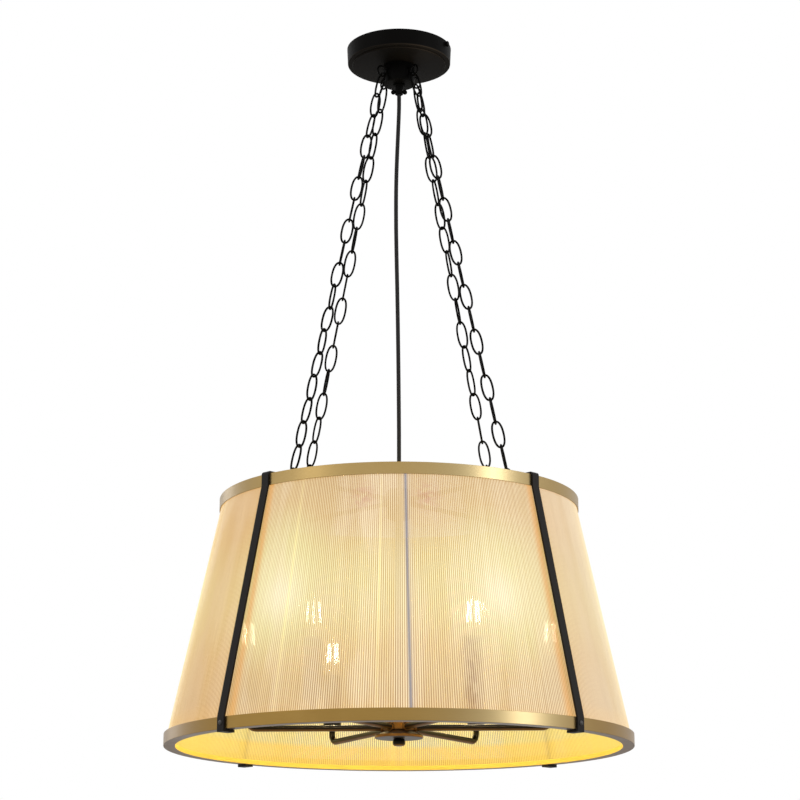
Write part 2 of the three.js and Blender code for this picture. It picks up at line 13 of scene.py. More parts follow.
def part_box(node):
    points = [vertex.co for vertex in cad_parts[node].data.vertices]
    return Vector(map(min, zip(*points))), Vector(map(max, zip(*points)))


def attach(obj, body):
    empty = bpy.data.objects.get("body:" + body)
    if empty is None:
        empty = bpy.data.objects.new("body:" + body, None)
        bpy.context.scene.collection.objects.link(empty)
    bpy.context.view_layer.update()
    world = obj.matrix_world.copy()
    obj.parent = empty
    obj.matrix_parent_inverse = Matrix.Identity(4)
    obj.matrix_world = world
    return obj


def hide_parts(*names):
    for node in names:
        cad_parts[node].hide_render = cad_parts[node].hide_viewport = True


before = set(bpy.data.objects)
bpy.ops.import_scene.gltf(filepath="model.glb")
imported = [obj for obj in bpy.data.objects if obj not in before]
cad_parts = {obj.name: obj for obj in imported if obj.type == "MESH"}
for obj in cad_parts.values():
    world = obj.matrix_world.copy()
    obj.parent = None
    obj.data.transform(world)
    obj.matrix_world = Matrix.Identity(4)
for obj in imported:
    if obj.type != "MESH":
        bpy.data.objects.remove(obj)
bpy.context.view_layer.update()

# Camera, as the photograph's perspective gives it
CAMERA_PLACE = (0.0013, -2.8831, -1.2714)
CAMERA_RISE = 14.92
CAMERA_LENS = 100.81
SENSOR_WIDTH = 36

# Power cord, by the points that it hangs through
CORD_RADIUS = 0.00275
CORD_ROUTE = [
    (0, 0, -0.0669),
    (0, 0, -0.085),
    (-0.0006, 0, -0.105),
    (-0.0016, 0, -0.130),
    (-0.0028, 0, -0.160),
    (-0.0037, 0, -0.190),
    (-0.0041, 0, -0.220),
    (-0.0040, 0, -0.260),
    (-0.0034, 0, -0.300),
    (-0.0026, 0, -0.340),
    (-0.0019, 0, -0.380),
    (-0.0013, 0, -0.420),
    (-0.0008, 0, -0.460),
    (-0.0004, 0, -0.500),
    (-0.0001, 0, -0.540),
    (0, 0, -0.580),
    (0, 0, -0.6254),
]

# Levels and reaches that the frame gives
ring_low, ring_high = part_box("bottom_ring")
band_low, band_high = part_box("top_ring")
grip_low, grip_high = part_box("cord_grip")
hub_low, hub_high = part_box("canopy_hub")
top_hub_low, top_hub_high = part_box("top_hub")
stem_low, stem_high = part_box("stem")
arm_hub_low, arm_hub_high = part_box("arm_hub")
cover_low, cover_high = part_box("hub_cover")
finial_low, finial_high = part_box("finial")
canopy_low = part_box("canopy")[0]
RING_RADIUS = ring_high.x
BAND_RADIUS = band_high.x
BAND_HEIGHT = band_high.z - band_low.z

# Clearances
FIT_GAP = 0.0003
HOOK_GAP = 0.0006
EYE_PLAY = 0.0017
LINK_PLAY = 0.0017

# Turns about the axis
FRAME_TURN = 0.6
CANOPY_TURN = -4
ARM_TURN = -2.3
ARM_SPACING = 60
SEAM_ANGLE = 2.5
SCREW_ANGLE = 64
CORNERS = {"front_right": 45, "rear_right": 135, "rear_left": 225, "front_left": 315}
ARMS = {
    "front_right": 30,
    "right": 90,
    "rear_right": 150,
    "rear_left": 210,
    "left": 270,
    "front_left": 330,
}

# Canopy, its hub and its side screws
CANOPY_RADIUS = 0.072
CANOPY_FOOT_RADIUS = 0.0709
CANOPY_STEP_RADIUS = 0.0645
CANOPY_STEP = 0.002
CANOPY_WALL = 0.0012
STUD_BORE = 0.0053
STUD_DEPTH = 0.0083
SCREW_DROP = 0.005
SCREW_RADIUS = 0.0018
SCREW_DEPTH = 0.009
SCREW_HEAD_RADIUS = 0.0036
SCREW_HEAD_LOW = 0.0004
SCREW_HEAD_HIGH = 0.0034
KNURL_COUNT = 20
KNURL_SIZE = (0.0004, 0.0005, 0.0022)

# Cord grip and its set screws
GRIP_RADIUS = 0.0055
GRIP_MOUTH_RADIUS = 0.0036
GRIP_MOUTH_DEPTH = 0.004
GRIP_FLANGE_RADIUS = 0.008
GRIP_FLANGE_HEIGHT = 0.0024
GRIP_SCREW_RISE = 0.0036
GRIP_SCREW_REACH = 0.008
GRIP_SCREW_RADIUS = 0.0033
GRIP_SHANK = (0.0050, 0.0078)
GRIP_SHANK_RADIUS = 0.0015

# Chains, with their twist in degrees at even steps from the bottom up
LINK_COUNT = 18
LINK_WIDTH = 0.0165
LINK_WIRE = 0.0014
LINK_BLUNTNESS = 2.3
LINK_STEPS = 36
TWISTS = {
    "front_right": (-45, -45, -45, -45, -42, -32, 0),
    "rear_right": (-60, -50, 5, 42, 95, 145, 180),
    "rear_left": (92, 82, 50, 49, 34, 14, 2),
    "front_left": (90, 94, 112, 138, 142, 172, 184),
}

# Eyes, with the heights at which they carry the chains
EYE_WIRE = 0.0013
EYE_SHANK_RADIUS = 0.0016
EYE_SHANK_SINK = 0.0012
EYE_NUT_RADIUS = 0.0034
EYE_NUT_HEIGHT = 0.0024
UPPER_EYE_RING = 0.0076
UPPER_EYE_REACH = 0.031
UPPER_CONTACT = -0.0463
UPPER_SHANK_START = 0.0165
UPPER_SHANK_RISE = 0.8
UPPER_SHANK_STOP = 0.6
LOWER_EYE_RING = 0.005
LOWER_EYE_REACH = 0.1899
LOWER_CONTACT = -0.6300

# Top hub, stem, straps and rivets
TOP_HUB_RADIUS = 0.016
TOP_HUB_CHAMFER = 0.003
TOP_HUB_FLANGE_RADIUS = 0.023
TOP_HUB_FLANGE_HEIGHT = 0.003
STEM_RADIUS = 0.005
STRAP_WIDTH = 0.012
STRAP_THICKNESS = 0.0027
STRAP_BEND = 0.004
STRAP_BEND_STEPS = 6
STRAP_NICK = 0.0001
STRAP_EDGE = 0.0003
STRAP_FOOT = 0.015
STRAP_FOOT_THICKNESS = 0.003
RIVET_RADIUS = 0.003
RIVET_HEIGHT = 0.0017
RIVET_FLAT = 0.0014
RIVET_EDGE = 0.0006
RIVET_SINK = 0.0004

# Rings and shade
BAND_WALL = 0.0012
RING_FLANGE = 0.015
RING_LIP = 0.006
RING_SIDES = 240
SHADE_CLEARANCE = 0.0005
SHADE_WALL = 0.0024
SHADE_TOP_INSET = 0.001
STRANDS_PER_PANEL = 330
STRAND_SIDES = 8
STRAND_FULLNESS = 0.97

# What shows through the shade as painted light and painted shadow, and its seam: azimuths, widths in degrees
# and levels
BRIGHT_LINES = {-30: 0.35, -5.1: 0.25}
BAR_ANGLES = (-10.4, 8.2)
BAR_WIDTH = 3.2
PAINTED_BAR_SHADOW_LEVEL = band_low.z - 0.028
SLEEVE_ANGLE = 17.2
SLEEVE_TOP = -0.868
STRAP_ANGLE = CORNERS["front_right"]
STRAP_GLOW_OFFSET = 2
SEAM_FOOT_ANGLE = 2.65
SEAM_FOOT_LEVEL = -0.955
SEAM_SLANT = 2.8

# Arm hub, cover and finial
ARM_HUB_RADIUS = 0.020
ARM_HUB_NECK_RADIUS = 0.0095
ARM_HUB_WALL_HEIGHT = 0.013
ARM_HUB_SLOPE = 0.0022
COLLAR_RADIUS = 0.0056
COLLAR_LENGTH = 0.0032
COLLAR_SINK = 0.0002
COVER_RADIUS = 0.031
COVER_RIM = 0.004
FINIAL_BORE = 0.0033
FINIAL_BORE_DEPTH = 0.0063
FINIAL_SHANK_RADIUS = 0.0030
FINIAL_OUTLINE = [(0, 0), (0.0062, 0), (0.0078, 0.0018), (0.0081, 0.0050), (0.0070, 0.0092), (0.0030, 0.0092)]

# Lights on their arms
ARM_RADIUS = 0.004
ARM_REACH = 0.1954
ARM_BEND = 0.012
ARM_BEND_STEPS = 8
ARM_STRAIGHT = (0.0110, 0.08, 0.15)
ARM_RISE = 0.016
ARM_LEVEL = ring_low.z + 0.026
SEAT_RADIUS = 0.012
SEAT_HEIGHT = 0.0024
HOLDER_RADIUS = 0.0098
HOLDER_HEIGHT = 0.068
SOCKET_DEPTH = 0.025
SOCKET_RADIUS = 0.0065
SLEEVE_WALL = 0.0016
SLEEVE_HEIGHT = 0.072
BULB_BASE_RADIUS = 0.0059
BULB_BASE_LENGTH = 0.024
BULB_BASE_TIP = 0.003
BULB_RADIUS = 0.0175
BULB_HEIGHT = 0.083
BULB_NECK_RADIUS = 0.0085
BULB_TIP_RADIUS = 0.0006
BULB_OUTLINE = [(0.13, 0.72), (0.25, 0.94), (0.37, 1), (0.52, 0.91), (0.68, 0.64), (0.84, 0.29)]
GLOW_LEVEL = -0.816
GLOW_HEIGHT = 0.026
FILAMENT_RADIUS = 0.0013
FILAMENT_SPREAD = 0.0085
FILAMENT_TURN = 35
FILAMENT_LEAN = 0.8
GLASS_GLOW = 0.024
FILAMENT_GLOW = 0.014
FILAMENT_STRENGTH = 19.0
LAMP_POWER = 1.2
LAMP_COLOUR = (1.0, 0.78, 0.40)
LAMP_RADIUS = 0.012

# Corners, as the radius that rounds them
CANOPY_CORNER = 0.0015
ARM_HUB_CORNER = 0.0012
FINIAL_CORNER = 0.0010
COVER_CORNER = 0.0009
HUB_CORNER = 0.0008
GRIP_CORNER = 0.0006
COLLAR_CORNER = 0.0005
CHANNEL_CORNER = 0.0004
BAND_CORNER = 0.0003

# Angles between faces past which an edge stays sharp
SHARP_ANGLE = 35
STRAND_SHARP_ANGLE = 60
FLAT_ANGLE = 15

# Grain of the paint, weave of the cord and thread of the bulbs
GRAIN_SCALE = 900
GRAIN_DEPTH = 0.00006
BRAID_TURNS = 12
BRAID_PITCH = 0.0016
THREAD_PITCH = 0.0025

# Studio, each soft light by its place, size and power
LIGHT_TARGET = (0, 0, -0.7)
SOFT_LIGHTS = {
    "right_box": ((2.3, -1.4, -0.25), (0.6, 1.5), 15),
    "left_box": ((-2.2, -1.6, 0.6), (0.8, 1.4), 6),
    "rear_left_box": ((-1.8, 1.9, 0.0), (0.6, 1.4), 5),
}
FILL_COLOUR = (1.0, 0.98, 0.96)
FILL_STRENGTH = 0.55
FLOOR_LEVEL = -3.8
FLOOR_SIZE = 60
FLOOR_COLOUR = (0.86, 0.86, 0.86)

FULL_TURN = 2 * math.pi
X, Z = Vector((1, 0, 0)), Vector((0, 0, 1))
Z_TO_X = Matrix.Rotation(math.radians(90), 4, "Y")


def outward(azimuth):
    turn = math.radians(azimuth)
    return Vector((math.sin(turn), -math.cos(turn), 0))


def at_azimuth(reach, azimuth, height):
    return outward(azimuth) * reach + Z * height


def about_axis(angle):
    return Matrix.Rotation(math.radians(angle), 4, "Z")


def turned_to(azimuth):
    """The turn about Z that points +X out along the azimuth."""
    return about_axis(azimuth - 90)


def new_object(name, data):
    obj = bpy.data.objects.new(name, data)
    bpy.context.scene.collection.objects.link(obj)
    return obj


# Camera and cord


def make_camera():
    data = bpy.data.cameras.new("camera")
    data.lens = CAMERA_LENS
    data.sensor_width = SENSOR_WIDTH
    camera = new_object("camera", data)
    camera.location = CAMERA_PLACE
    camera.rotation_euler = (math.radians(90 + CAMERA_RISE), 0, 0)
    bpy.context.scene.camera = camera
    bpy.context.scene.view_settings.view_transform = "Standard"


def smooth_route(points, steps):
    """A smooth line through all the points, with the given steps between each two."""
    ends = [points[0] * 2 - points[1], *points, points[-1] * 2 - points[-2]]
    line = []
    for a, b, c, d in zip(ends, ends[1:], ends[2:], ends[3:]):
        slope = c - a
        bend = a * 2 - b * 5 + c * 4 - d
        swing = b * 3 - a - c * 3 + d
        for step in range(steps):
            t = step / steps
            line.append((b * 2 + slope * t + bend * t * t + swing * t * t * t) / 2)
    return [*line, points[-1]]


def frames_along(points, closed):
    """Two crosswise directions at each point of a line, which turn with it as little as they can."""
    count = len(points)
    tangents = []
    for here in range(count):
        ahead = points[(here + 1) % count] if closed or here < count - 1 else points[here]
        behind = points[here - 1] if closed or here else points[here]
        tangents.append((ahead - behind).normalized())
    side = tangents[0].orthogonal().normalized()
    sides = []
    for tangent in tangents:
        side = (side - tangent * side.dot(tangent)).normalized()
        sides.append((side, tangent.cross(side)))
    return sides


def tube(bm, points, radius, sides, closed=False):
    """A round tube along the points, with UV round it and along it in metres."""
    layer = bm.loops.layers.uv.verify()
    angles = [FULL_TURN * side / sides for side in range(sides)]
    rings = []
    for point, (u, v) in zip(points, frames_along(points, closed)):
        rings.append([bm.verts.new(point + (u * math.cos(a) + v * math.sin(a)) * radius) for a in angles])
    along = [0]
    for a, b in zip(points, points[1:] + points[:1]):
        along.append(along[-1] + (b - a).length)
    pairs = list(zip(rings, rings[1:])) + ([(rings[-1], rings[0])] if closed else [])
    for step, (low, high) in enumerate(pairs):
        for side in range(sides):
            after = (side + 1) % sides
            face = bm.faces.new((low[side], low[after], high[after], high[side]))
            corners = ((side, step), (side + 1, step), (side + 1, step + 1), (side, step + 1))
            for loop, (round_share, at) in zip(face.loops, corners):
                loop[layer].uv = (round_share / sides, along[at])
    if not closed:
        bm.faces.new(list(reversed(rings[0])))
        bm.faces.new(rings[-1])


def smoothed(mesh, sharp_angle=SHARP_ANGLE):
    mesh.shade_smooth()
    mesh.set_sharp_from_angle(angle=math.radians(sharp_angle))
    return mesh


def mesh_of(bm, name, sharp_angle=SHARP_ANGLE):
    bmesh.ops.recalc_face_normals(bm, faces=bm.faces[:])
    mesh = bpy.data.meshes.new(name)
    bm.to_mesh(mesh)
    bm.free()
    return smoothed(mesh, sharp_angle)


def piece(name, mesh, body, slot, finish, *nodes):
    """A finished piece at the origin, riding on a body and standing for the named nodes."""
    obj = new_object(name, mesh)
    mesh.materials.clear()
    mesh.materials.append(finish)
    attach(obj, body)
    if nodes:
        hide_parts(*nodes)
    return obj


def make_cord(finish):
    bm = bmesh.new()
    route = smooth_route([Vector(point) for point in CORD_ROUTE], 6)
    tube(bm, route, CORD_RADIUS, 16)
    cord = piece("cord_sleeve", mesh_of(bm, "cord_sleeve"), "pendant", "cord", finish, "power_cord")
    length = sum((b - a).length for a, b in zip(route, route[1:]))


# Turned and bent shapes


def softened(points, radius, steps=3):
    """An outline whose inner corners are rounded, as far as their sides allow."""
    line = [Vector(points[0])]
    for a, b, c in zip(points, points[1:], points[2:]):
        back, ahead = Vector(a) - Vector(b), Vector(c) - Vector(b)
        reach = min(radius, back.length * 0.45, ahead.length * 0.45)
        start = Vector(b) + back.normalized() * reach
        end = Vector(b) + ahead.normalized() * reach
        for step in range(steps + 1):
            t = step / steps
            line.append(start * (1 - t) ** 2 + Vector(b) * 2 * t * (1 - t) + end * t * t)
    return [*line, Vector(points[-1])]


def lathe(profile, sides=96, close=False):
    """A turned shape round the Z axis from (radius, height) points."""
    bm = bmesh.new()
    rings = []
    for radius, height in profile:
        if radius < 1e-6:
            rings.append([bm.verts.new((0, 0, height))] * sides)
        else:
            spots = [at_azimuth(radius, 360 * side / sides, height) for side in range(sides)]
            rings.append([bm.verts.new(spot) for spot in spots])
    pairs = list(zip(rings, rings[1:])) + ([(rings[-1], rings[0])] if close else [])
    for low, high in pairs:
        for side in range(sides):
            after = (side + 1) % sides
            corners = dict.fromkeys((low[side], low[after], high[after], high[side]))
            if len(corners) > 2:
                bm.faces.new(list(corners))
    return bm


def turned(name, outline, corner, sides=96):
    """A turned mesh with rounded corners, from an outline that starts and ends on the axis."""
    return mesh_of(lathe(softened(outline, corner), sides), name)


def turned_wall(name, outline, corner, sides=96, steps=3, sharp_angle=SHARP_ANGLE):
    """A turned mesh with rounded corners, from a closed outline off the axis."""
    rounded = softened([*outline, outline[0], outline[1]], corner, steps)
    return mesh_of(lathe(rounded[1:-1], sides, close=True), name, sharp_angle)


def moved(mesh, matrix):
    mesh.transform(matrix)
    return mesh


def joined(name, *meshes):
    """One mesh of several."""
    bm = bmesh.new()
    for mesh in meshes:
        bm.from_mesh(mesh)
    made = bpy.data.meshes.new(name)
    bm.to_mesh(made)
    bm.free()
    return made


def wire_ring(radius, wire, sides=32):
    """A wire ring that stands on edge in the XZ plane."""
    bm = bmesh.new()
    angles = [FULL_TURN * side / sides for side in range(sides)]
    points = [X * radius * math.cos(a) + Z * radius * math.sin(a) for a in angles]
    tube(bm, points, wire, 10, closed=True)
    return mesh_of(bm, "wire_ring")


def blunted(share):
    """A sine or cosine, pushed out towards the corners of its square."""
    return math.copysign(abs(share) ** (2 / LINK_BLUNTNESS), share)


def oval_link(inside):
    """A link whose inside reaches from zero to the given height."""
    bm = bmesh.new()
    half_width = LINK_WIDTH / 2 - LINK_WIRE
    half_length = inside / 2 + LINK_WIRE
    points = []
    for step in range(LINK_STEPS):
        angle = FULL_TURN * step / LINK_STEPS
        across, along = blunted(math.cos(angle)), blunted(math.sin(angle))
        points.append(X * half_width * across + Z * (inside / 2 + half_length * along))
    tube(bm, points, LINK_WIRE, 8, closed=True)
    return mesh_of(bm, "link")


# Node trees


class Value:
    """A number in a node tree, on which sums add Math nodes."""

    def __init__(self, maker, socket):
        self.maker = maker
        self.socket = socket

    def __add__(self, other):
        return self.maker.math("ADD", self, other)

    def __sub__(self, other):
        return self.maker.math("SUBTRACT", self, other)

    def __rsub__(self, other):
        return self.maker.math("SUBTRACT", other, self)

    def __mul__(self, other):
        return self.maker.math("MULTIPLY", self, other)

    def __truediv__(self, other):
        return self.maker.math("DIVIDE", self, other)

    def __neg__(self):
        return self * -1

    def __abs__(self):
        return self.maker.math("ABSOLUTE", self)

    __radd__ = __add__
    __rmul__ = __mul__


class Maker:
    """Adds nodes to one tree."""

    def __init__(self, tree):
        self.tree = tree

    def add(self, kind, sockets=(), **settings):
        """A node of that type: its settings first, then the values or links of its sockets."""
        node = self.tree.nodes.new(kind)
        stops = settings.pop("stops", ())
        for name, value in settings.items():
            setattr(node, name, value)
        for step, (position, colour) in enumerate(stops):
            stop = node.color_ramp.elements[step] if step < 2 else node.color_ramp.elements.new(position)
            stop.position = position
            stop.color = (*colour, 1)
        for key, value in dict(sockets).items():
            self.put(node.inputs[key], value)
        return node

    def put(self, socket, value):
        if isinstance(value, Value):
            value = value.socket
        if isinstance(value, bpy.types.NodeSocket):
            self.tree.links.new(value, socket)
        else:
            socket.default_value = (*value, 1) if socket.type == "RGBA" else value

    def math(self, operation, *values):
        node = self.add("ShaderNodeMath", enumerate(values), operation=operation)
        return Value(self, node.outputs[0])

    def mix(self, factor, low, high):
        """The low colour, going over to the high one."""
        node = self.add("ShaderNodeMix", {0: factor, 6: low, 7: high}, data_type="RGBA")
        return node.outputs[2]

    def layered(self, tone, *layers):
        """The tone with more colours laid over it, each by its own factor."""
        for factor, colour in layers:
            tone = self.mix(factor, tone, colour)
        return tone

    def ramp(self, factor, *stops):
        return self.add("ShaderNodeValToRGB", {0: factor}, stops=stops).outputs[0]

    def bell(self, value, centre, width):
        """One at the centre, falling smoothly to nothing a few widths away."""
        away = (value - centre) / width
        return self.math("EXPONENT", -(away * away))

    def step(self, value, edge, width):
        """Zero below the edge and one above it, with a short ramp between."""
        node = self.add("ShaderNodeMapRange", {0: value, 1: edge - width, 2: edge + width}, clamp=True)
        return Value(self, node.outputs[0])

    def scaled(self, vector, scale):
        node = self.add("ShaderNodeVectorMath", {0: vector, 1: scale}, operation="MULTIPLY")
        return node.outputs[0]


class Finish(Maker):
    """A material with its shader, and the place on the piece that its patterns read."""

    def __init__(self, name, **constants):
        self.material = bpy.data.materials.new(name)
        self.material.use_nodes = True
        super().__init__(self.material.node_tree)
        self.shader = self.tree.nodes["Principled BSDF"]
        for socket, value in constants.items():
            self.set(socket.replace("_", " "), value)
        self.place = self.add("ShaderNodeTexCoord").outputs["Object"]

    def set(self, socket, value):
        self.put(self.shader.inputs[socket], value)

    def noise(self, scale, detail=2, stretch=(1, 1, 1)):
        vector = self.scaled(self.place, stretch)
        node = self.add("ShaderNodeTexNoise", {"Vector": vector, "Scale": scale, "Detail": detail})
        return Value(self, node.outputs[0])

    def relief(self, height, depth, strength):
        node = self.add("ShaderNodeBump", {"Height": height, "Distance": depth, "Strength": strength})
        self.set("Normal", node.outputs[0])

    def facing_in(self):
        """One where the surface looks at the Z axis."""
        normal = self.add("ShaderNodeTexCoord").outputs["Normal"]
        flat = self.scaled(self.place, (1, 1, 0))
        node = self.add("ShaderNodeVectorMath", {0: flat, 1: normal}, operation="DOT_PRODUCT")
        return self.math("LESS_THAN", Value(self, node.outputs["Value"]), -0.003)

    def facing_down(self):
        """One where the surface looks straight down, and less than nothing where it looks up."""
        normal = self.add("ShaderNodeTexCoord").outputs["Normal"]
        parts = self.add("ShaderNodeSeparateXYZ", {0: normal})
        return -Value(self, parts.outputs[2])

    def azimuth(self):
        """The place's azimuth in degrees, and its height."""
        parts = self.add("ShaderNodeSeparateXYZ", {0: self.place})
        x, y, z = (Value(self, out) for out in parts.outputs)
        return self.math("ARCTAN2", x, -y) * (360 / FULL_TURN), z


def grown(name, tree, **inputs):
    """The plain mesh that a node tree makes from its named inputs."""
    holder = new_object(name, bpy.data.meshes.new(name))
    modifier = holder.modifiers.new("grow", "NODES")
    modifier.node_group = tree
    names = {item.name: item.identifier for item in tree.interface.items_tree if item.in_out == "INPUT"}
    for key, value in inputs.items():
        modifier[names[key.replace("_", " ")]] = value
    depsgraph = bpy.context.evaluated_depsgraph_get()
    mesh = bpy.data.meshes.new_from_object(holder.evaluated_get(depsgraph), depsgraph=depsgraph)
    holder.modifiers.clear()
    bpy.data.objects.remove(holder)
    return mesh


def new_tree(name, **inputs):
    """A geometry tree with the named inputs, its maker and the sockets of those inputs."""
    tree = bpy.data.node_groups.new(name, "GeometryNodeTree")
    for key, kind in inputs.items():
        tree.interface.new_socket(key.replace("_", " "), in_out="INPUT", socket_type="NodeSocket" + kind)
    tree.interface.new_socket("Geometry", in_out="OUTPUT", socket_type="NodeSocketGeometry")
    maker = Maker(tree)
    given = maker.add("NodeGroupInput")
    sockets = [given.outputs[key.replace("_", " ")] for key in inputs]
    return tree, maker, sockets


def instances(maker, points, pattern, rotation, scale, finish):
    """Copies of the pattern on the points, made real and given their finish."""
    source = maker.add("GeometryNodeObjectInfo", {"Object": pattern})
    spread = maker.add(
        "GeometryNodeInstanceOnPoints",
        {"Points": points, "Instance": source.outputs["Geometry"], "Rotation": rotation, "Scale": scale},
    )
    real = maker.add("GeometryNodeRealizeInstances", {0: spread.outputs[0]})
    painted = maker.add("GeometryNodeSetMaterial", {0: real.outputs[0], "Material": finish})
    maker.add("NodeGroupOutput", {0: painted.outputs[0]})


def about_z(maker, angle):
    turn = maker.add("FunctionNodeAxisAngleToRotation", {"Axis": (0, 0, 1), "Angle": angle})
    return turn.outputs[0]


def make_round_tree():
    """Copies of a pattern, turned about the Z axis by even steps."""
    tree, maker, (pattern, count, first, step, finish) = new_tree(
        "placed_round",
        Pattern="Object",
        Count="Int",
        First_angle="Float",
        Step_angle="Float",
        Finish="Material",
    )
    points = maker.add("GeometryNodePoints", {"Count": count})
    index = Value(maker, maker.add("GeometryNodeInputIndex").outputs[0])
    angle = index * step + first
    instances(maker, points.outputs[0], pattern, about_z(maker, angle), (1, 1, 1), finish)
    return tree


def make_chain_tree():
    """Links in a row up the Z axis, every second one a quarter turn on, with their own slow twist."""
    steps = len(TWISTS["front_right"]) - 1
    angles = {f"Twist_{step}": "Float" for step in range(steps + 1)}
    tree, maker, sockets = new_tree(
        "chain",
        Link="Object",
        Count="Int",
        Pitch="Float",
        Low_play="Float",
        High_play="Float",
        Finish="Material",
        **angles,
    )
    link, count, pitch, low_play, high_play, finish, first_twist, *twists = (
        Value(maker, socket) for socket in sockets
    )
    index = Value(maker, maker.add("GeometryNodeInputIndex").outputs[0])
    along = index / (count + 1) * steps
    twist = first_twist
    before = first_twist
    for step, after in enumerate(twists):
        reached = maker.math("MINIMUM", maker.math("MAXIMUM", along - step, 0), 1)
        twist = twist + (after - before) * reached
        before = after
    crosswise = maker.math("MODULO", index, 2) * math.radians(90)
    is_first = maker.math("LESS_THAN", index, 0.5)
    is_last = maker.math("GREATER_THAN", index, count - 1.5)
    drop = is_first * low_play
    stretch = (drop + is_last * high_play) / pitch + 1
    scale = maker.add("ShaderNodeCombineXYZ", {0: 1, 1: 1, 2: stretch})
    spot = maker.add("ShaderNodeCombineXYZ", {2: index * pitch - drop})
    points = maker.add("GeometryNodePoints", {"Count": count, "Position": spot.outputs[0]})
    rotation = about_z(maker, twist + crosswise)
    instances(maker, points.outputs[0], link, rotation, scale.outputs[0], finish)
    return tree


def placed_round(tree, name, mesh, count, first, step, finish):
    """Copies of the mesh round the axis, from the first angle on."""
    pattern = new_object("pattern", mesh)
    made = grown(
        name,
        tree,
        Pattern=pattern,
        Count=count,
        First_angle=math.radians(first),
        Step_angle=math.radians(step),
        Finish=finish,
    )
    bpy.data.objects.remove(pattern)
    return made


# Finishes


def powder_coat(finish, cloud):
    """The gloss and the fine grain of satin paint."""
    grain = finish.noise(GRAIN_SCALE, 3)
    finish.set("Roughness", grain * 0.08 + cloud * 0.08 + 0.38)
    finish.relief(grain, GRAIN_DEPTH, 0.35)


def black_paint(name, colour, specular):
    finish = Finish(name, Specular_IOR_Level=specular)
    cloud = finish.noise(35)
    finish.set("Base Color", finish.mix(cloud, colour, tuple(part * 1.4 for part in colour)))
    powder_coat(finish, cloud)
    return finish.material


def canopy_black():
    """The black of the canopy, with its two lower edges catching the light at the right."""
    finish = Finish("canopy_black", Specular_IOR_Level=0.03)
    azimuth, z = finish.azimuth()
    cloud = finish.noise(35)
    foot_edge = finish.bell(z, canopy_low.z + 0.0008, 0.0006)
    step_edge = finish.bell(z, canopy_low.z + CANOPY_STEP + 0.001, 0.0008)
    lit = (foot_edge + step_edge) * (finish.bell(azimuth, 35, 30) * 0.75 + 0.25)
    tone = finish.mix(cloud, (0.0025, 0.0023, 0.0021), (0.0040, 0.0037, 0.0033))
    finish.set("Base Color", finish.mix(lit, tone, (0.045, 0.034, 0.024)))
    powder_coat(finish, cloud)
    return finish.material


def black_with_painted_lamplight(name, dark, lit, flat, edge):
    """Black paint with the warm light of the shade painted in: dark above, painted lit below, and painted
    pale, as a reflection of the floor, where it faces the floor.
    """
    finish = Finish(name, Metallic=0.6, Specular_IOR_Level=0.4)
    grain = finish.noise(GRAIN_SCALE, 3)
    down = finish.facing_down()
    # Painted lamplight on the faces that look down, then a painted floor reflection on those that look
    # straight down
    tone = finish.mix(finish.step(down, edge, 0.28) * (finish.noise(60) * 0.5 + 0.6), dark, lit)
    finish.set("Base Color", finish.mix(finish.step(down, 0.97, 0.02), tone, flat))
    finish.set("Roughness", grain * 0.1 + 0.3)
    finish.relief(grain, GRAIN_DEPTH, 0.35)
    return finish.material


def brass(name, dark, light, inner, shaded_underside, glow):
    """Satin brass, brushed round the ring, with the glow of the shade painted on its inner side, painted
    shade towards the ends and on the underside, and a painted highlight at the right.
    """
    finish = Finish(name, Specular_IOR_Level=0.1, Coat_Roughness=0.3, Emission_Strength=1.0)
    azimuth, z = finish.azimuth()
    spot = finish.add("ShaderNodeCombineXYZ", {0: azimuth * 0.02, 1: z * 60})
    streaks = finish.add("ShaderNodeTexNoise", {"Vector": spot.outputs[0], "Scale": 30, "Detail": 3})
    line = Value(finish, streaks.outputs[0])
    inside = finish.facing_in()
    # Painted shade towards both ends of the ring
    ends = finish.step(abs(azimuth), 62, 22) * 0.75
    # Painted highlight at the right, in a paler colour; both shines also raise the coat
    shine = finish.bell(azimuth, 29, 17)
    left_shine = finish.bell(azimuth, -61, 9)

    tone = finish.layered(
        finish.mix(finish.noise(18) * 0.5 + line * 0.5, dark, light),
        (ends, tuple(part * 0.85 for part in dark)),
        (shine * 0.6, (0.42, 0.355, 0.20)),
        # Painted shade on the underside
        (finish.step(finish.facing_down(), 0.9, 0.05), shaded_underside),
        # Painted glow of the shade on the inner side
        (inside, inner),
    )
    finish.set("Base Color", tone)
    finish.set("Metallic", (1 - inside * 0.6) * (1 - ends * 1.2))
    # Painted glow of the shade, as emission on the inner side
    finish.set("Emission Color", finish.mix(inside, (0, 0, 0), glow))
    finish.set("Roughness", line * 0.12 + 0.27)
    finish.set("Coat Weight", shine * 0.4 + left_shine * 0.3 + 0.05)
    finish.relief(line, 0.00004, 0.3)
    return finish.material


def zinc():
    finish = Finish("zinc", Metallic=1.0)
    spangle = finish.noise(260)
    finish.set("Base Color", finish.mix(spangle, (0.42, 0.43, 0.44), (0.60, 0.61, 0.62)))
    finish.set("Roughness", spangle * 0.2 + 0.32)
    return finish.material


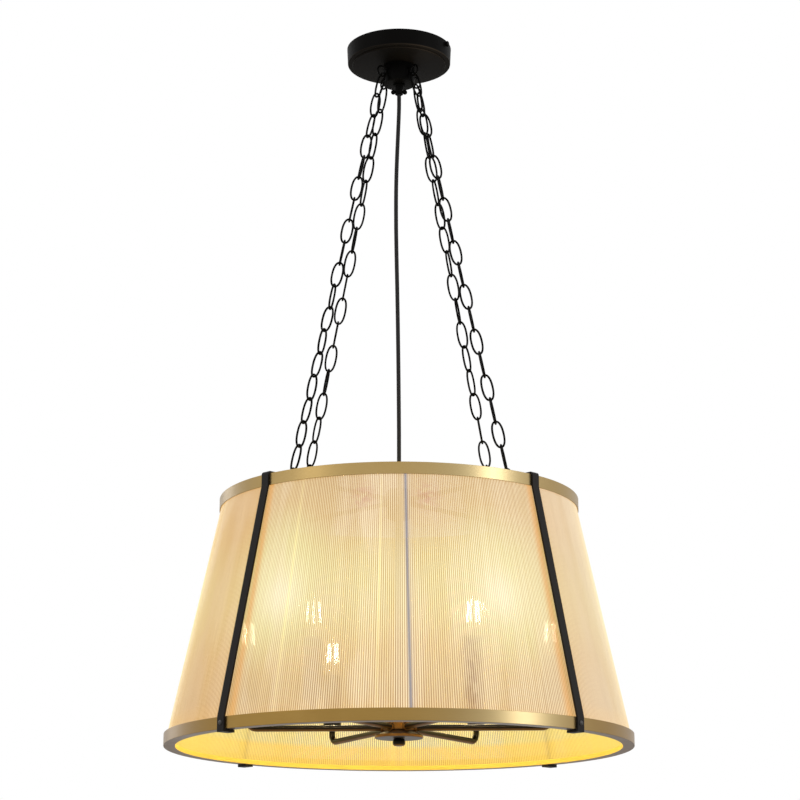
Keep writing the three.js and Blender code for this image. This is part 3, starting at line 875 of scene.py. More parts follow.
def braid():
    """Black woven sleeve of the cord, on its own UV."""
    finish = Finish("cord", Specular_IOR_Level=0.3)
    uv = finish.add("ShaderNodeSeparateXYZ", {0: finish.add("ShaderNodeTexCoord").outputs["UV"]})
    u, v = (Value(finish, out) for out in uv.outputs[:2])
    around = u * (FULL_TURN * BRAID_TURNS)
    along = v * (FULL_TURN / BRAID_PITCH)
    right = finish.math("SINE", around + along)
    left = finish.math("SINE", around - along)
    weave = finish.math("MAXIMUM", right, left) * 0.5 + 0.5
    finish.set("Base Color", finish.mix(weave, (0.003, 0.003, 0.0032), (0.012, 0.0115, 0.0115)))
    finish.set("Roughness", 0.85 - weave * 0.25)
    finish.relief(weave, 0.0002, 0.6)
    return finish.material


def moulding():
    """Dark plastic of the lampholders."""
    finish = Finish("holder", Roughness=0.5)
    cloud = finish.noise(120)
    finish.set("Base Color", finish.mix(cloud, (0.035, 0.03, 0.027), (0.055, 0.047, 0.042)))
    return finish.material


def bulb_glass():
    """Clear warm glass, glowing faintly round its filaments."""
    finish = Finish("bulb", Roughness=0.04, Base_Color=(0.05, 0.04, 0.03), Emission_Strength=0.8)
    z = finish.azimuth()[1]
    glow = finish.bell(z, GLOW_LEVEL, GLASS_GLOW)
    finish.set("Alpha", glow * 0.16 + 0.16)
    finish.set("Emission Color", finish.mix(glow, (0.85, 0.40, 0.08), (1.0, 0.82, 0.48)))
    return finish.material


def filament_glow():
    finish = Finish(
        "filament", Base_Color=(1.0, 0.8, 0.5), Roughness=0.6, Emission_Strength=FILAMENT_STRENGTH
    )
    z = finish.azimuth()[1]
    heat = finish.bell(z, GLOW_LEVEL, FILAMENT_GLOW)
    finish.set("Emission Color", finish.mix(heat, (1.0, 0.72, 0.42), (1.0, 0.95, 0.85)))
    return finish.material


def screw_shell():
    """The bulb's metal base, with its thread."""
    finish = Finish("bulb_base", Metallic=1.0, Roughness=0.3)
    azimuth, z = finish.azimuth()
    thread = z * (FULL_TURN / THREAD_PITCH) + azimuth * (FULL_TURN / 360)
    turns = finish.math("SINE", thread) * 0.5 + 0.5
    finish.set("Base Color", finish.mix(turns, (0.45, 0.37, 0.22), (0.75, 0.62, 0.38)))
    finish.relief(turns, 0.0004, 0.8)
    return finish.material


def shade_finish():
    """Clear ribbed strands, lit from inside, with that light painted in as their glow. What they show is
    worked out from azimuth and height.
    """
    finish = Finish("shade", Emission_Strength=1.0, Specular_IOR_Level=0.1)
    azimuth, z = finish.azimuth()
    inside = finish.facing_in()
    slow = finish.noise(9, stretch=(1, 1, 0.35))
    zones = finish.noise(26, stretch=(1, 1, 0.12))
    fine = finish.noise(160, stretch=(1, 1, 0.06))

    # Strands, their edges and a chance value for each
    strand = (azimuth - SEAM_ANGLE) * (2 * STRANDS_PER_PANEL / 360)
    edge = abs(finish.math("FRACT", strand) - 0.5) * 2
    gap = finish.step(edge, 0.5, 0.08)
    number = finish.math("FLOOR", strand)
    dice = finish.add("ShaderNodeTexWhiteNoise", {"W": number}, noise_dimensions="1D")
    chance = Value(finish, dice.outputs[0])

    # Painted glow of the bulbs on the strands
    sector = (finish.math("FRACT", (azimuth - ARM_TURN) / ARM_SPACING) - 0.5) * ARM_SPACING
    near_bulb = finish.bell(sector, 0, 12)
    level = finish.bell(z, GLOW_LEVEL + 0.02, 0.12)
    # Painted halo of light round each bulb
    halo = finish.bell(z, GLOW_LEVEL + 0.008, 0.03) * finish.bell(sector, 0, 6)
    painted_bulb_glow = level * (near_bulb * 0.3 + 0.7) + slow * 0.3 - 0.15

    # Pieces and light that show through the strands, painted in at fixed places
    # Painted bright lines of light
    line = sum(finish.bell(azimuth, place, width) for place, width in BRIGHT_LINES.items())
    # Painted shadows of the radial bars near the top
    bar_shadows = sum(finish.bell(azimuth, place, BAR_WIDTH) for place in BAR_ANGLES)
    bar_shadows = bar_shadows * finish.bell(z, PAINTED_BAR_SHADOW_LEVEL, 0.016) * finish.step(finish.noise(160), 0.47, 0.1)
    grain = finish.step(finish.noise(110, stretch=(1, 1, 0.35)), 0.5, 0.08)
    # Painted shadow of a candle sleeve below the bulb at the front right
    sleeve = finish.bell(azimuth, SLEEVE_ANGLE, 2.0) * finish.step(-z, -SLEEVE_TOP, 0.012)
    sleeve = sleeve * (grain * 0.7 + 0.3)
    # Painted glow beside the straps, and painted shadow at them
    to_strap = 90 - abs(abs(azimuth - FRAME_TURN) - 90)
    strap_glow = finish.bell(to_strap, STRAP_ANGLE - STRAP_GLOW_OFFSET, 1.2)
    strap_shadow = finish.bell(to_strap, STRAP_ANGLE, 0.8)
    seam_place = azimuth - SEAM_FOOT_ANGLE + (z - SEAM_FOOT_LEVEL) * SEAM_SLANT
    seam = finish.bell(seam_place, 0.1, 0.42)
    seam_edge = finish.bell(seam_place, 0.4, 1.1)

    # Outer side: the painted glow, with painted light, shadows and highlights laid over it
    bright = finish.ramp(
        painted_bulb_glow,
        (0.0, (0.60, 0.42, 0.20)),
        (0.45, (0.70, 0.54, 0.26)),
        (0.8, (0.79, 0.76, 0.40)),
        (1.0, (0.86, 0.85, 0.50)),
    )
    dim = finish.ramp(
        painted_bulb_glow,
        (0.0, (0.34, 0.17, 0.05)),
        (0.45, (0.41, 0.22, 0.05)),
        (0.8, (0.49, 0.35, 0.10)),
        (1.0, (0.56, 0.42, 0.16)),
    )
    # Painted warmer light on the side panels beyond the straps, and paler painted light from the right
    side = finish.step(abs(azimuth - FRAME_TURN), STRAP_ANGLE, 1)
    right = finish.bell(azimuth, 75, 35)
    # Brighter patches of painted glow, at random
    bright = finish.mix(finish.step(zones, 0.5, 0.06) * 0.4, bright, (0.95, 0.82, 0.58))
    tone = finish.layered(
        finish.mix(gap * 0.85 + chance * 0.15, bright, dim),
        (halo * 0.3, (0.92, 0.88, 0.75)),
        (bar_shadows * 0.9, (0.46, 0.22, 0.10)),
        (sleeve * (gap * 0.6 + 0.4), (0.24, 0.09, 0.01)),
        (side * 0.35, (0.56, 0.25, 0.02)),
        (side * right * 0.5, (0.62, 0.52, 0.38)),
        (strap_glow * 0.75, (0.62, 0.27, 0.03)),
        (seam_edge * 0.35, (0.45, 0.34, 0.28)),
        (seam * 0.95, (0.15, 0.14, 0.17)),
        (line * level * 0.5, (1.0, 0.88, 0.36)),
    )

    # Inner side: the painted glow of the lit inner wall, with painted shadows at the straps
    streak = finish.mix(finish.step(zones, 0.5, 0.08), (0.40, 0.27, 0.03), (0.30, 0.24, 0.14))
    # Painted orange band at the foot, and brighter painted glow at the rear seam and at the sides
    low = finish.step(-z, -ring_low.z - 0.032, 0.003)
    rear = finish.bell(abs(azimuth) - 180, -1.6, 0.9)
    yellow = finish.bell(abs(azimuth), 105, 30)
    glow_in = finish.layered(
        finish.mix(gap * 0.9 + chance * 0.1, (0.90, 0.80, 0.36), streak),
        (low * 0.6, (0.88, 0.50, 0.04)),
        (rear * 0.8, (0.85, 0.58, 0.11)),
        (yellow * 0.7, (0.93, 0.72, 0.14)),
        (strap_shadow * 0.3, (0.30, 0.20, 0.06)),
    )
    # The shade's painted glow, as emission: the outer tone outside, the inner glow inside
    finish.set("Emission Color", finish.mix(inside, tone, glow_in))

    # The strands' surface, with painted lamplight in the colour of the inner faces
    top = finish.step(z, PAINTED_BAR_SHADOW_LEVEL - 0.03, 0.03)
    pale = finish.mix(gap, (0.48, 0.45, 0.38), (0.24, 0.21, 0.19))
    pale = finish.mix(seam * 0.9, pale, (0.24, 0.24, 0.27))
    # Painted lamplight: the inner faces warmer than the outer ones
    lamplit_inside_tone = finish.mix(gap, (0.30, 0.22, 0.06), (0.05, 0.04, 0.03))
    finish.set("Base Color", finish.mix(inside, pale, lamplit_inside_tone))
    finish.set("Alpha", gap * 0.06 + fine * 0.08 + seam * 0.1 + top * 0.1 + 0.75)
    finish.set("Roughness", fine * 0.2 + 0.25)
    return finish.material


# Ceiling end


def make_canopy(black, metal):
    foot = canopy_low.z
    rim = foot + CANOPY_STEP
    outer = [
        (STUD_BORE, foot),
        (CANOPY_STEP_RADIUS, foot),
        (CANOPY_STEP_RADIUS, rim),
        (CANOPY_FOOT_RADIUS, rim),
        (CANOPY_RADIUS, 0),
    ]
    inner = [
        (CANOPY_RADIUS - CANOPY_WALL, 0),
        (CANOPY_FOOT_RADIUS - CANOPY_WALL, rim + CANOPY_WALL),
        (CANOPY_STEP_RADIUS - CANOPY_WALL, rim + CANOPY_WALL),
        (CANOPY_STEP_RADIUS - CANOPY_WALL, foot + CANOPY_WALL),
        (STUD_BORE, foot + CANOPY_WALL),
    ]
    bm = lathe([*softened(outer, CANOPY_CORNER, 4), *inner], 128, close=True)
    piece("canopy_dish", mesh_of(bm, "canopy_dish"), "canopy", "black_metal", black, "canopy")
    for side, turn in (("right", 0), ("left", 180)):
        make_side_screw(side, SCREW_ANGLE + turn, black)
    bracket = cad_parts["mounting_bracket"].data
    bracket.materials.clear()
    bracket.materials.append(metal)


def make_side_screw(side, azimuth, black):
    """A screw in the canopy's wall, with a knurled head."""
    name = "side_screw_" + side
    outline = [
        (0, SCREW_HEAD_HIGH),
        (SCREW_HEAD_RADIUS, SCREW_HEAD_HIGH),
        (SCREW_HEAD_RADIUS, SCREW_HEAD_LOW),
        (SCREW_RADIUS, SCREW_HEAD_LOW),
        (SCREW_RADIUS, -SCREW_DEPTH),
        (0, -SCREW_DEPTH),
    ]
    spot = X * SCREW_HEAD_RADIUS + Z * (SCREW_HEAD_LOW + SCREW_HEAD_HIGH) / 2
    knurl = bmesh.new()
    bmesh.ops.create_cube(knurl, size=1, matrix=Matrix.LocRotScale(spot, None, Vector(KNURL_SIZE)))
    knurls = placed_round(ROUND, "knurl", mesh_of(knurl, "knurl"), KNURL_COUNT, 0, 360 / KNURL_COUNT, black)
    place = turned_to(azimuth) @ Matrix.Translation(X * CANOPY_RADIUS - Z * SCREW_DROP) @ Z_TO_X
    screw = moved(joined(name, turned("screw", outline, GRIP_CORNER, 24), knurls), place)
    piece(name, smoothed(screw), "canopy", "black_metal", black, "canopy_screw_" + side)


def make_canopy_hub(black):
    top = hub_high.z
    outline = [
        (0, hub_low.z),
        (hub_high.x, hub_low.z),
        (hub_high.x, top),
        (STUD_BORE, top),
        (STUD_BORE, top - STUD_DEPTH),
        (0, top - STUD_DEPTH),
    ]
    hub = turned("hanging_hub", outline, HUB_CORNER)
    piece("hanging_hub", hub, "canopy", "black_metal", black, "canopy_hub")


def make_grip(black):
    mouth = grip_low.z + GRIP_MOUTH_DEPTH
    flange = grip_high.z - GRIP_FLANGE_HEIGHT
    outline = [
        (0, mouth),
        (GRIP_MOUTH_RADIUS, mouth),
        (GRIP_MOUTH_RADIUS, grip_low.z),
        (GRIP_RADIUS, grip_low.z),
        (GRIP_RADIUS, flange),
        (GRIP_FLANGE_RADIUS, flange),
        (GRIP_FLANGE_RADIUS, grip_high.z),
        (0, grip_high.z),
    ]
    height = grip_low.z + GRIP_SCREW_RISE
    screw = bmesh.new()
    for side in (-1, 1):
        head = Matrix.Translation((side * GRIP_SCREW_REACH, 0, height))
        bmesh.ops.create_uvsphere(screw, u_segments=20, v_segments=12, radius=GRIP_SCREW_RADIUS, matrix=head)
        tube(screw, [Vector((side * reach, 0, height)) for reach in GRIP_SHANK], GRIP_SHANK_RADIUS, 12)
    mesh = joined("cord_clamp", turned("grip", outline, GRIP_CORNER, 48), mesh_of(screw, "grip_screw"))
    piece("cord_clamp", mesh, "canopy", "black_metal", black, "cord_grip")


def make_upper_eyes(black):
    ring_height = UPPER_CONTACT + UPPER_EYE_RING - EYE_WIRE - FIT_GAP
    shank_height = ring_height + UPPER_EYE_RING * UPPER_SHANK_RISE
    shank_reaches = (UPPER_SHANK_START, UPPER_EYE_REACH - UPPER_EYE_RING * UPPER_SHANK_STOP)
    for corner, azimuth in CORNERS.items():
        name = "hub_eye_" + corner
        ring = wire_ring(UPPER_EYE_RING, EYE_WIRE)
        moved(ring, Matrix.Translation((UPPER_EYE_REACH, 0, ring_height)))
        bm = bmesh.new()
        tube(bm, [Vector((reach, 0, shank_height)) for reach in shank_reaches], EYE_SHANK_RADIUS, 12)
        mesh = joined(name, ring, mesh_of(bm, "shank"))
        moved(mesh, turned_to(azimuth + CANOPY_TURN))
        piece(name, mesh, "canopy", "black_metal", black, "upper_eye_" + corner)


# Chains


def chain_line(azimuth):
    """The matrix that stands a chain on its line, and its pitch."""
    start = at_azimuth(LOWER_EYE_REACH, azimuth + FRAME_TURN, LOWER_CONTACT)
    end = at_azimuth(UPPER_EYE_REACH, azimuth + CANOPY_TURN, UPPER_CONTACT)
    along = (end - start).normalized()
    across = along.cross(outward(azimuth)).normalized()
    radial = across.cross(along)
    turn = Matrix((radial, across, along)).transposed().to_4x4()
    return Matrix.Translation(start) @ turn, (end - start).length / LINK_COUNT


def twist_at(corner, link):
    along = link / LINK_COUNT * (len(TWISTS[corner]) - 1)
    step = int(along)
    low, high = TWISTS[corner][step : step + 2]
    return low + (high - low) * (along - step)


def make_chains(black):
    tree = make_chain_tree()
    for corner, azimuth in CORNERS.items():
        line, pitch = chain_line(azimuth)
        twists = {f"Twist_{step}": math.radians(twist) for step, twist in enumerate(TWISTS[corner])}
        pattern = new_object("pattern", oval_link(pitch))
        mesh = grown(
            "links_" + corner,
            tree,
            Link=pattern,
            Count=LINK_COUNT - 1,
            Pitch=pitch,
            Low_play=HOOK_GAP,
            High_play=LINK_PLAY / 2,
            Finish=black,
            **twists,
        )
        bpy.data.objects.remove(pattern)
        mesh.shade_smooth()
        piece("links_" + corner, moved(mesh, line), "pendant", "black_metal", black, "chain_" + corner)
        height = (LINK_COUNT - 1) * pitch - LINK_PLAY / 2
        top = oval_link(pitch + LINK_PLAY / 2 + EYE_PLAY)
        moved(top, line @ Matrix.Translation(Z * height) @ about_axis(twist_at(corner, LINK_COUNT - 1) + 90))
        piece("end_link_" + corner, top, "top_links", "black_metal", black, "top_link_" + corner)


def make_lower_eyes(black):
    ring_height = LOWER_CONTACT - LOWER_EYE_RING + EYE_WIRE + FIT_GAP
    nut_high = band_high.z
    nut_low = nut_high - EYE_NUT_HEIGHT
    nut_outline = [(0, nut_low), (EYE_NUT_RADIUS, nut_low), (EYE_NUT_RADIUS, nut_high), (0, nut_high)]
    shank_high = ring_height - LOWER_EYE_RING + EYE_SHANK_SINK
    for corner, azimuth in CORNERS.items():
        name = "frame_eye_" + corner
        ring = wire_ring(LOWER_EYE_RING, EYE_WIRE)
        moved(ring, Matrix.Translation(Z * ring_height) @ about_axis(twist_at(corner, 1) + 90))
        bm = bmesh.new()
        tube(bm, [Z * nut_low, Z * shank_high], EYE_SHANK_RADIUS, 12)
        mesh = joined(name, ring, mesh_of(bm, "shank"), turned("nut", nut_outline, BAND_CORNER, 6))
        moved(mesh, turned_to(azimuth + FRAME_TURN) @ Matrix.Translation(X * LOWER_EYE_REACH))
        piece(name, mesh, "pendant", "black_metal", black, "lower_eye_" + corner)


# Frame of the shade


def make_top_hub(black):
    flange = band_high.z
    low, high = top_hub_low.z, top_hub_high.z
    outline = [
        (0, low),
        (TOP_HUB_RADIUS - TOP_HUB_CHAMFER, low),
        (TOP_HUB_RADIUS, low + TOP_HUB_CHAMFER),
        (TOP_HUB_RADIUS, flange - TOP_HUB_FLANGE_HEIGHT),
        (TOP_HUB_FLANGE_RADIUS, flange - TOP_HUB_FLANGE_HEIGHT),
        (TOP_HUB_FLANGE_RADIUS, flange),
        (TOP_HUB_RADIUS, flange),
        (TOP_HUB_RADIUS, high - TOP_HUB_CHAMFER),
        (TOP_HUB_RADIUS - TOP_HUB_CHAMFER, high),
        (0, high),
    ]
    hub = turned("crown_hub", outline, HUB_CORNER)
    piece("crown_hub", hub, "pendant", "black_metal", black, "top_hub")


def strap_line():
    """The strap's outline, (reach, height), from the hub over the top and down to its foot."""
    bar_low = band_high.z + FIT_GAP
    bar_high = bar_low + STRAP_THICKNESS
    start = TOP_HUB_RADIUS + FIT_GAP
    top = BAND_RADIUS + FIT_GAP
    low = RING_RADIUS + FIT_GAP
    foot = ring_low.z - FIT_GAP
    top_edge = band_low.z
    low_edge = ring_high.z
    turns = [math.radians(90 * step / STRAP_BEND_STEPS) for step in range(STRAP_BEND_STEPS + 1)]
    bend = [
        (
            top + STRAP_THICKNESS - STRAP_BEND * (1 - math.cos(turn)),
            bar_high - STRAP_BEND * (1 - math.sin(turn)),
        )
        for turn in turns
    ]
    return [
        (start, bar_low),
        (top - STRAP_NICK, bar_low),
        (top, bar_low - STRAP_NICK),
        (top, top_edge),
        (low, low_edge),
        (low, foot),
        (low - STRAP_FOOT, foot),
        (low - STRAP_FOOT, foot - STRAP_FOOT_THICKNESS),
        (low + STRAP_THICKNESS, foot - STRAP_FOOT_THICKNESS),
        (low + STRAP_THICKNESS, low_edge),
        (top + STRAP_THICKNESS, top_edge),
        *bend,
        (start, bar_high),
    ]


def make_straps(black):
    outline = strap_line()
    for corner, azimuth in CORNERS.items():
        bm = bmesh.new()
        left = [bm.verts.new((reach, -STRAP_WIDTH / 2, height)) for reach, height in outline]
        right = [bm.verts.new((reach, STRAP_WIDTH / 2, height)) for reach, height in outline]
        bm.faces.new(left)
        bm.faces.new(list(reversed(right)))
        for here in range(len(outline)):
            after = (here + 1) % len(outline)
            bm.faces.new((left[after], left[here], right[here], right[after]))
        bmesh.ops.recalc_face_normals(bm, faces=bm.faces[:])
        rims = [edge for edge in bm.edges if any(len(face.verts) > 4 for face in edge.link_faces)]
        bmesh.ops.bevel(bm, geom=rims, offset=STRAP_EDGE, segments=2, affect="EDGES", clamp_overlap=True)
        mesh = moved(mesh_of(bm, "strap_" + corner), turned_to(azimuth + FRAME_TURN))
        piece("blade_" + corner, mesh, "pendant", "black_metal", black, "strap_" + corner)


def make_rivets(black):
    """Domed heads at the straps' feet."""
    outline = [
        (0, RIVET_HEIGHT),
        (RIVET_FLAT, RIVET_HEIGHT),
        (RIVET_RADIUS, RIVET_EDGE),
        (RIVET_RADIUS, -RIVET_SINK),
        (0, -RIVET_SINK),
    ]
    reach = RING_RADIUS + FIT_GAP + STRAP_THICKNESS
    place = Matrix.Translation((reach, 0, ring_low.z + BAND_HEIGHT / 2)) @ Z_TO_X
    rivet = turned("rivet", outline, HUB_CORNER, 32)
    moved(rivet, turned_to(CORNERS["front_right"] + FRAME_TURN) @ place)
    rivets = placed_round(ROUND, "foot_rivets", rivet, len(CORNERS), 0, 360 / len(CORNERS), black)
    piece("foot_rivets", smoothed(rivets), "pendant", "black_metal", black)


def make_rings(band_metal, rim_metal):
    band_inner = BAND_RADIUS - BAND_WALL
    band = [
        (band_inner, band_low.z),
        (BAND_RADIUS, band_low.z),
        (BAND_RADIUS, band_high.z),
        (band_inner, band_high.z),
    ]
    mesh = turned_wall("top_band", band, BAND_CORNER, RING_SIDES, 2, FLAT_ANGLE)
    piece("top_band", mesh, "pendant", "brass", band_metal, "top_ring")

    flange = RING_RADIUS - RING_FLANGE
    z = ring_low.z
    channel = [
        (RING_RADIUS, z),
        (RING_RADIUS, ring_high.z),
        (RING_RADIUS - BAND_WALL, ring_high.z),
        (RING_RADIUS - BAND_WALL, z + BAND_WALL),
        (flange + BAND_WALL, z + BAND_WALL),
        (flange + BAND_WALL, z + RING_LIP),
        (flange, z + RING_LIP),
        (flange, z),
    ]
    mesh = turned_wall("rim_channel", channel, CHANNEL_CORNER, RING_SIDES, 2, FLAT_ANGLE)
    piece("rim_channel", mesh, "pendant", "brass", rim_metal, "bottom_ring")


def shade_line():
    """Reach and height of the strands' middle line, at the low and the high end."""
    low_z = ring_low.z + BAND_WALL + FIT_GAP
    low_reach = RING_RADIUS - BAND_WALL - SHADE_CLEARANCE
    high_reach = BAND_RADIUS - BAND_WALL - SHADE_CLEARANCE
    lean = (low_reach - high_reach) / (band_low.z - low_z)
    top_z = band_high.z - SHADE_TOP_INSET
    top_reach = high_reach - lean * (top_z - band_low.z)
    return (low_reach - SHADE_WALL / 2, low_z), (top_reach - SHADE_WALL / 2, top_z)


def strand_mesh(half_angle):
    """One strand along the shade's slope at azimuth 90: an oval bar that narrows upwards."""
    bm = bmesh.new()
    rings = []
    for reach, height in shade_line():
        half_width = reach * math.radians(half_angle)
        ring = []
        for side in range(STRAND_SIDES):
            turn = FULL_TURN * side / STRAND_SIDES
            spot = Vector((reach + SHADE_WALL / 2 * math.cos(turn), half_width * math.sin(turn), height))
            ring.append(bm.verts.new(spot))
        rings.append(ring)
    low, high = rings
    for side in range(STRAND_SIDES):
        after = (side + 1) % STRAND_SIDES
        bm.faces.new((low[side], low[after], high[after], high[side]))
    bm.faces.new(list(reversed(low)))
    bm.faces.new(high)
    return mesh_of(bm, "strand", STRAND_SHARP_ANGLE)


def make_shade(glow):
    """Each half of the shade: its strands side by side."""
    pitch = 180 / STRANDS_PER_PANEL
    strand = moved(strand_mesh(pitch / 2 * STRAND_FULLNESS), turned_to(0))
    for side, seam in (("right", SEAM_ANGLE), ("left", SEAM_ANGLE + 180)):
        name = "strands_" + side
        first = seam + pitch / 2
        mesh = placed_round(ROUND, name, strand.copy(), STRANDS_PER_PANEL, first, pitch, glow)
        smoothed(mesh, STRAND_SHARP_ANGLE)
        piece(name, mesh, "pendant", "shade", glow, "shade_panel_" + side)


# Light cluster


def make_stem(black):
    low, high = stem_low.z, stem_high.z
    outline = [(0, low), (STEM_RADIUS, low), (STEM_RADIUS, high), (0, high)]
    stem = turned("stem_tube", outline, CHANNEL_CORNER, 40)
    piece("stem_tube", stem, "pendant", "black_metal", black, "stem")


def make_arm_hub(black):
    z = arm_hub_low.z
    outline = [
        (0, z + FINIAL_BORE_DEPTH),
        (FINIAL_BORE, z + FINIAL_BORE_DEPTH),
        (FINIAL_BORE, z),
        (ARM_HUB_RADIUS, z),
        (ARM_HUB_RADIUS, z + ARM_HUB_WALL_HEIGHT),
        (ARM_HUB_NECK_RADIUS, z + ARM_HUB_WALL_HEIGHT + ARM_HUB_SLOPE),
        (ARM_HUB_NECK_RADIUS, arm_hub_high.z),
        (0, arm_hub_high.z),
    ]
    hub = turned("spider_hub", outline, ARM_HUB_CORNER)
    piece("spider_hub", hub, "pendant", "black_metal", black, "arm_hub")

    wall = [(ARM_RADIUS, 0), (COLLAR_RADIUS, 0), (COLLAR_RADIUS, COLLAR_LENGTH), (ARM_RADIUS, COLLAR_LENGTH)]
    collar = turned_wall("collar", wall, COLLAR_CORNER, 32)
    place = Matrix.Translation((ARM_HUB_RADIUS - COLLAR_SINK, 0, ARM_LEVEL)) @ Z_TO_X
    moved(collar, turned_to(ARMS["front_right"] + ARM_TURN) @ place)
    collars = placed_round(ROUND, "arm_collars", collar, len(ARMS), 0, ARM_SPACING, black)
    piece("arm_collars", smoothed(collars), "pendant", "black_metal", black)


def make_cover_and_finial(cover_black, finial_black):
    cover = [
        (FINIAL_BORE, cover_high.z),
        (ARM_HUB_RADIUS, cover_high.z),
        (COVER_RADIUS, cover_low.z + COVER_RIM),
        (COVER_RADIUS, cover_low.z),
        (FINIAL_BORE, cover_low.z),
    ]
    plate = turned_wall("cover_plate", cover, COVER_CORNER)
    piece("cover_plate", plate, "pendant", "black_metal", cover_black, "hub_cover")
    knob = [(radius, finial_low.z + height) for radius, height in FINIAL_OUTLINE]
    shank = [(FINIAL_SHANK_RADIUS, finial_high.z), (0, finial_high.z)]
    finial = turned("finial_knob", [*knob, *shank], FINIAL_CORNER, 64)
    piece("finial_knob", finial, "pendant", "black_metal", finial_black, "finial")


def arm_points():
    """The arm's middle line: out from the hub, then bent up to its seat."""
    centre = Vector((ARM_REACH - ARM_BEND, 0, ARM_BEND))
    turns = [math.radians(90 * step / ARM_BEND_STEPS) for step in range(ARM_BEND_STEPS + 1)]
    bend = [centre + X * ARM_BEND * math.sin(turn) - Z * ARM_BEND * math.cos(turn) for turn in turns]
    return [*(X * reach for reach in ARM_STRAIGHT), *bend, Vector((ARM_REACH, 0, ARM_RISE))]


def make_holder_mesh():
    top = SEAT_HEIGHT + HOLDER_HEIGHT
    outline = [
        (0, 0),
        (SEAT_RADIUS, 0),
        (SEAT_RADIUS, SEAT_HEIGHT),
        (HOLDER_RADIUS, SEAT_HEIGHT),
        (HOLDER_RADIUS, top),
        (SOCKET_RADIUS, top),
        (SOCKET_RADIUS, top - SOCKET_DEPTH),
        (0, top - SOCKET_DEPTH),
    ]
    return turned("holder", outline, CHANNEL_CORNER, 40)


def make_sleeve_mesh():
    inner = SEAT_RADIUS - SLEEVE_WALL
    wall = [(inner, 0), (SEAT_RADIUS, 0), (SEAT_RADIUS, SLEEVE_HEIGHT), (inner, SLEEVE_HEIGHT)]
    return turned_wall("sleeve", wall, GRIP_CORNER, 48)


def make_flame_mesh():
    """The bulb's glass, from its flat underside to its tip."""
    neck = SLEEVE_HEIGHT - HOLDER_HEIGHT
    tip = neck + BULB_HEIGHT
    glass = [(BULB_RADIUS * radius, neck + BULB_HEIGHT * height) for height, radius in BULB_OUTLINE]
    rough = [(BULB_NECK_RADIUS, FIT_GAP), (BULB_NECK_RADIUS, neck), *glass, (BULB_TIP_RADIUS, tip)]
    smooth = smooth_route([Vector((radius, 0, height)) for radius, height in rough], 4)
    outline = [(max(point.x, BULB_TIP_RADIUS / 2), point.z) for point in smooth]
    return mesh_of(lathe([(0, FIT_GAP), *outline, (0, tip)], 40), "flame")


def make_filament_mesh(level):
    """Four upright filaments that lean together at the top."""
    bm = bmesh.new()
    for corner in range(4):
        spread = at_azimuth(FILAMENT_SPREAD, FILAMENT_TURN + 90 * corner, 0)
        low = spread + Z * (level - GLOW_HEIGHT / 2)
        high = spread * FILAMENT_LEAN + Z * (level + GLOW_HEIGHT / 2)
        tube(bm, [low, high], FILAMENT_RADIUS, 8)
    return mesh_of(bm, "filament")


def make_base_mesh():
    tip = -BULB_BASE_LENGTH
    top = FIT_GAP / 2
    outline = [
        (0, tip),
        (BULB_BASE_TIP, tip),
        (BULB_BASE_RADIUS, tip + BULB_BASE_TIP),
        (BULB_BASE_RADIUS, top),
        (0, top),
    ]
    return turned("base", outline, COLLAR_CORNER, 32)


def make_lights(black, moulded, glass, hot, shell):
    seat = ARM_LEVEL + ARM_RISE + FIT_GAP
    socket = seat + SEAT_HEIGHT + HOLDER_HEIGHT
    for side, spacing in ARMS.items():
        azimuth = spacing + ARM_TURN
        turn = turned_to(azimuth)
        bm = bmesh.new()
        tube(bm, arm_points(), ARM_RADIUS, 20)
        arm = moved(mesh_of(bm, "arm"), turn @ Matrix.Translation(Z * ARM_LEVEL))
        piece("bent_arm_" + side, arm, "pendant", "black_metal", black, "arm_" + side)
        stand = turn @ Matrix.Translation((ARM_REACH, 0, seat))
        holder = moved(make_holder_mesh(), stand)
        piece("socket_" + side, holder, "pendant", "holder", moulded, "lampholder_" + side)
        sleeve = moved(make_sleeve_mesh(), stand @ Matrix.Translation(Z * (SEAT_HEIGHT + FIT_GAP)))
        piece("sleeve_" + side, sleeve, "pendant", "black_metal", black, "candle_sleeve_" + side)
        make_bulb(side, turn @ Matrix.Translation((ARM_REACH, 0, socket)), glass, hot, shell)
        make_lamp(side, at_azimuth(ARM_REACH, azimuth, GLOW_LEVEL))


def make_bulb(side, place, glass, hot, shell):
    body = "bulb_" + side
    level = GLOW_LEVEL - place.translation.z
    piece("flame_" + side, moved(make_flame_mesh(), place), body, "bulb", glass, "bulb_" + side)
    piece("filament_" + side, moved(make_filament_mesh(level), place), body, "bulb", hot)
    piece("screw_base_" + side, moved(make_base_mesh(), place), body, "brass", shell)


def make_lamp(side, place):
    """The light that a bulb gives, which rides with the pendant."""
    data = bpy.data.lights.new("lamp_" + side, "POINT")
    data.energy = LAMP_POWER
    data.color = LAMP_COLOUR
    data.shadow_soft_size = LAMP_RADIUS
    lamp = new_object("lamp_" + side, data)
    lamp.location = place
    lamp.visible_camera = False
    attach(lamp, "pendant")


# Studio


def make_soft_light(name, place, size, power):
    data = bpy.data.lights.new(name, "AREA")
    data.shape = "RECTANGLE"
    data.size, data.size_y = size
    data.energy = power
    light = new_object(name, data)
    light.location = place
    light.rotation_euler = (Vector(LIGHT_TARGET) - Vector(place)).to_track_quat("-Z", "Y").to_euler()
    light.visible_camera = False


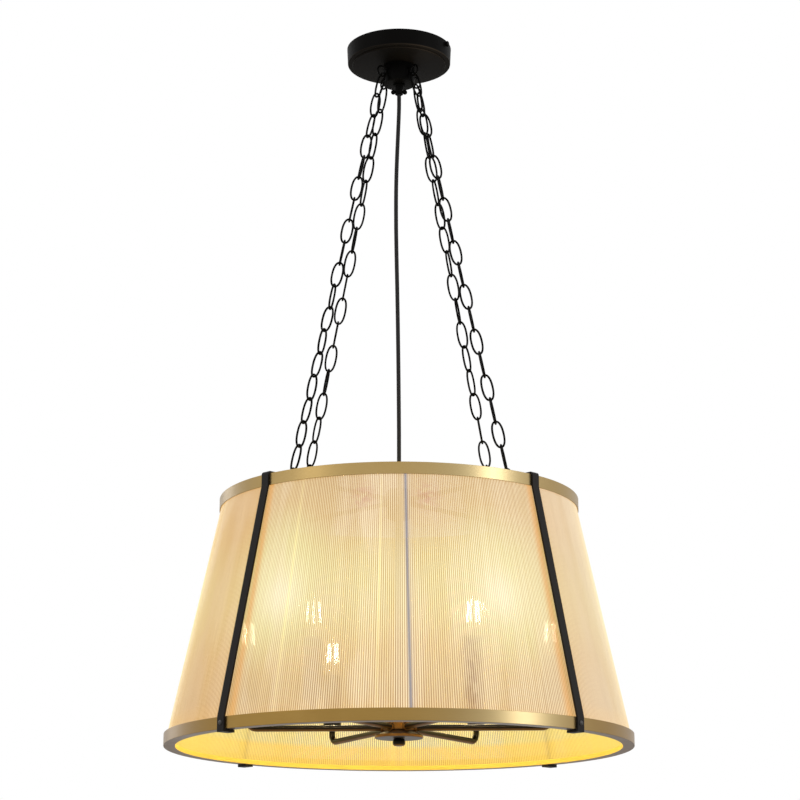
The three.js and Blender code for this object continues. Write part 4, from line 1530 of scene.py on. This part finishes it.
def make_backdrop():
    """White where the camera sees it, softer as a light."""
    world = bpy.data.worlds.new("studio")
    bpy.context.scene.world = world
    world.use_nodes = True
    maker = Maker(world.node_tree)
    world.node_tree.nodes.clear()
    path = maker.add("ShaderNodeLightPath")
    rays = ("Is Camera Ray", "Is Glossy Ray", "Is Transmission Ray")
    camera, glossy, transmission = (Value(maker, path.outputs[ray]) for ray in rays)
    shown = maker.math("MINIMUM", camera + glossy + transmission, 1)
    backdrop = maker.add("ShaderNodeBackground", {"Color": (1, 1, 1), "Strength": 1.0})
    fill = maker.add("ShaderNodeBackground", {"Color": FILL_COLOUR, "Strength": FILL_STRENGTH})
    both = maker.add("ShaderNodeMixShader", {0: shown, 1: fill.outputs[0], 2: backdrop.outputs[0]})
    maker.add("ShaderNodeOutputWorld", {0: both.outputs[0]})


def make_floor():
    bm = bmesh.new()
    place = Matrix.Translation(Z * FLOOR_LEVEL)
    bmesh.ops.create_grid(bm, x_segments=1, y_segments=1, size=FLOOR_SIZE, matrix=place)
    floor = new_object("floor", mesh_of(bm, "floor"))
    floor.data.materials.append(Finish("floor", Base_Color=FLOOR_COLOUR, Roughness=0.8).material)


make_camera()
BLACK = black_paint("black_metal", (0.0025, 0.0023, 0.0021), 0.03)
STRAP_BLACK = black_paint("strap_black", (0.0105, 0.0085, 0.0072), 0.13)
RIVET_BLACK = black_paint("rivet_black", (0.020, 0.018, 0.016), 0.6)
# Arm and hub black: their lit and flat colours are painted lamplight and a painted floor reflection
ARM_BLACK = black_with_painted_lamplight(
    "arm_black", dark=(0.006, 0.004, 0.002), lit=(0.25, 0.115, 0.018), flat=(0.16, 0.075, 0.018), edge=0.5
)
HUB_BLACK = black_with_painted_lamplight(
    "hub_black", dark=(0.012, 0.007, 0.003), lit=(0.25, 0.115, 0.022), flat=(0.08, 0.066, 0.050), edge=-0.15
)
# Brass of both rings: the inner and glow colours are the painted glow of the shade, the underside colours
# painted shade
BAND_BRASS = brass(
    "band_brass",
    dark=(0.36, 0.235, 0.070),
    light=(0.52, 0.37, 0.165),
    inner=(0.50, 0.33, 0.10),
    shaded_underside=(0.30, 0.19, 0.08),
    glow=(0.10, 0.06, 0.01),
)
RIM_BRASS = brass(
    "rim_brass",
    dark=(0.27, 0.155, 0.036),
    light=(0.39, 0.245, 0.07),
    inner=(0.74, 0.50, 0.10),
    shaded_underside=(0.20, 0.125, 0.065),
    glow=(0.26, 0.175, 0.015),
)
ROUND = make_round_tree()
make_cord(braid())
make_canopy(canopy_black(), zinc())
make_canopy_hub(BLACK)
make_grip(BLACK)
make_upper_eyes(BLACK)
make_chains(BLACK)
make_lower_eyes(BLACK)
make_top_hub(BLACK)
make_straps(STRAP_BLACK)
make_rivets(RIVET_BLACK)
make_rings(BAND_BRASS, RIM_BRASS)
make_shade(shade_finish())
make_stem(BLACK)
make_arm_hub(HUB_BLACK)
make_cover_and_finial(HUB_BLACK, ARM_BLACK)
make_lights(ARM_BLACK, moulding(), bulb_glass(), filament_glow(), screw_shell())
make_backdrop()
for name, (place, size, power) in SOFT_LIGHTS.items():
    make_soft_light(name, place, size, power)
make_floor()
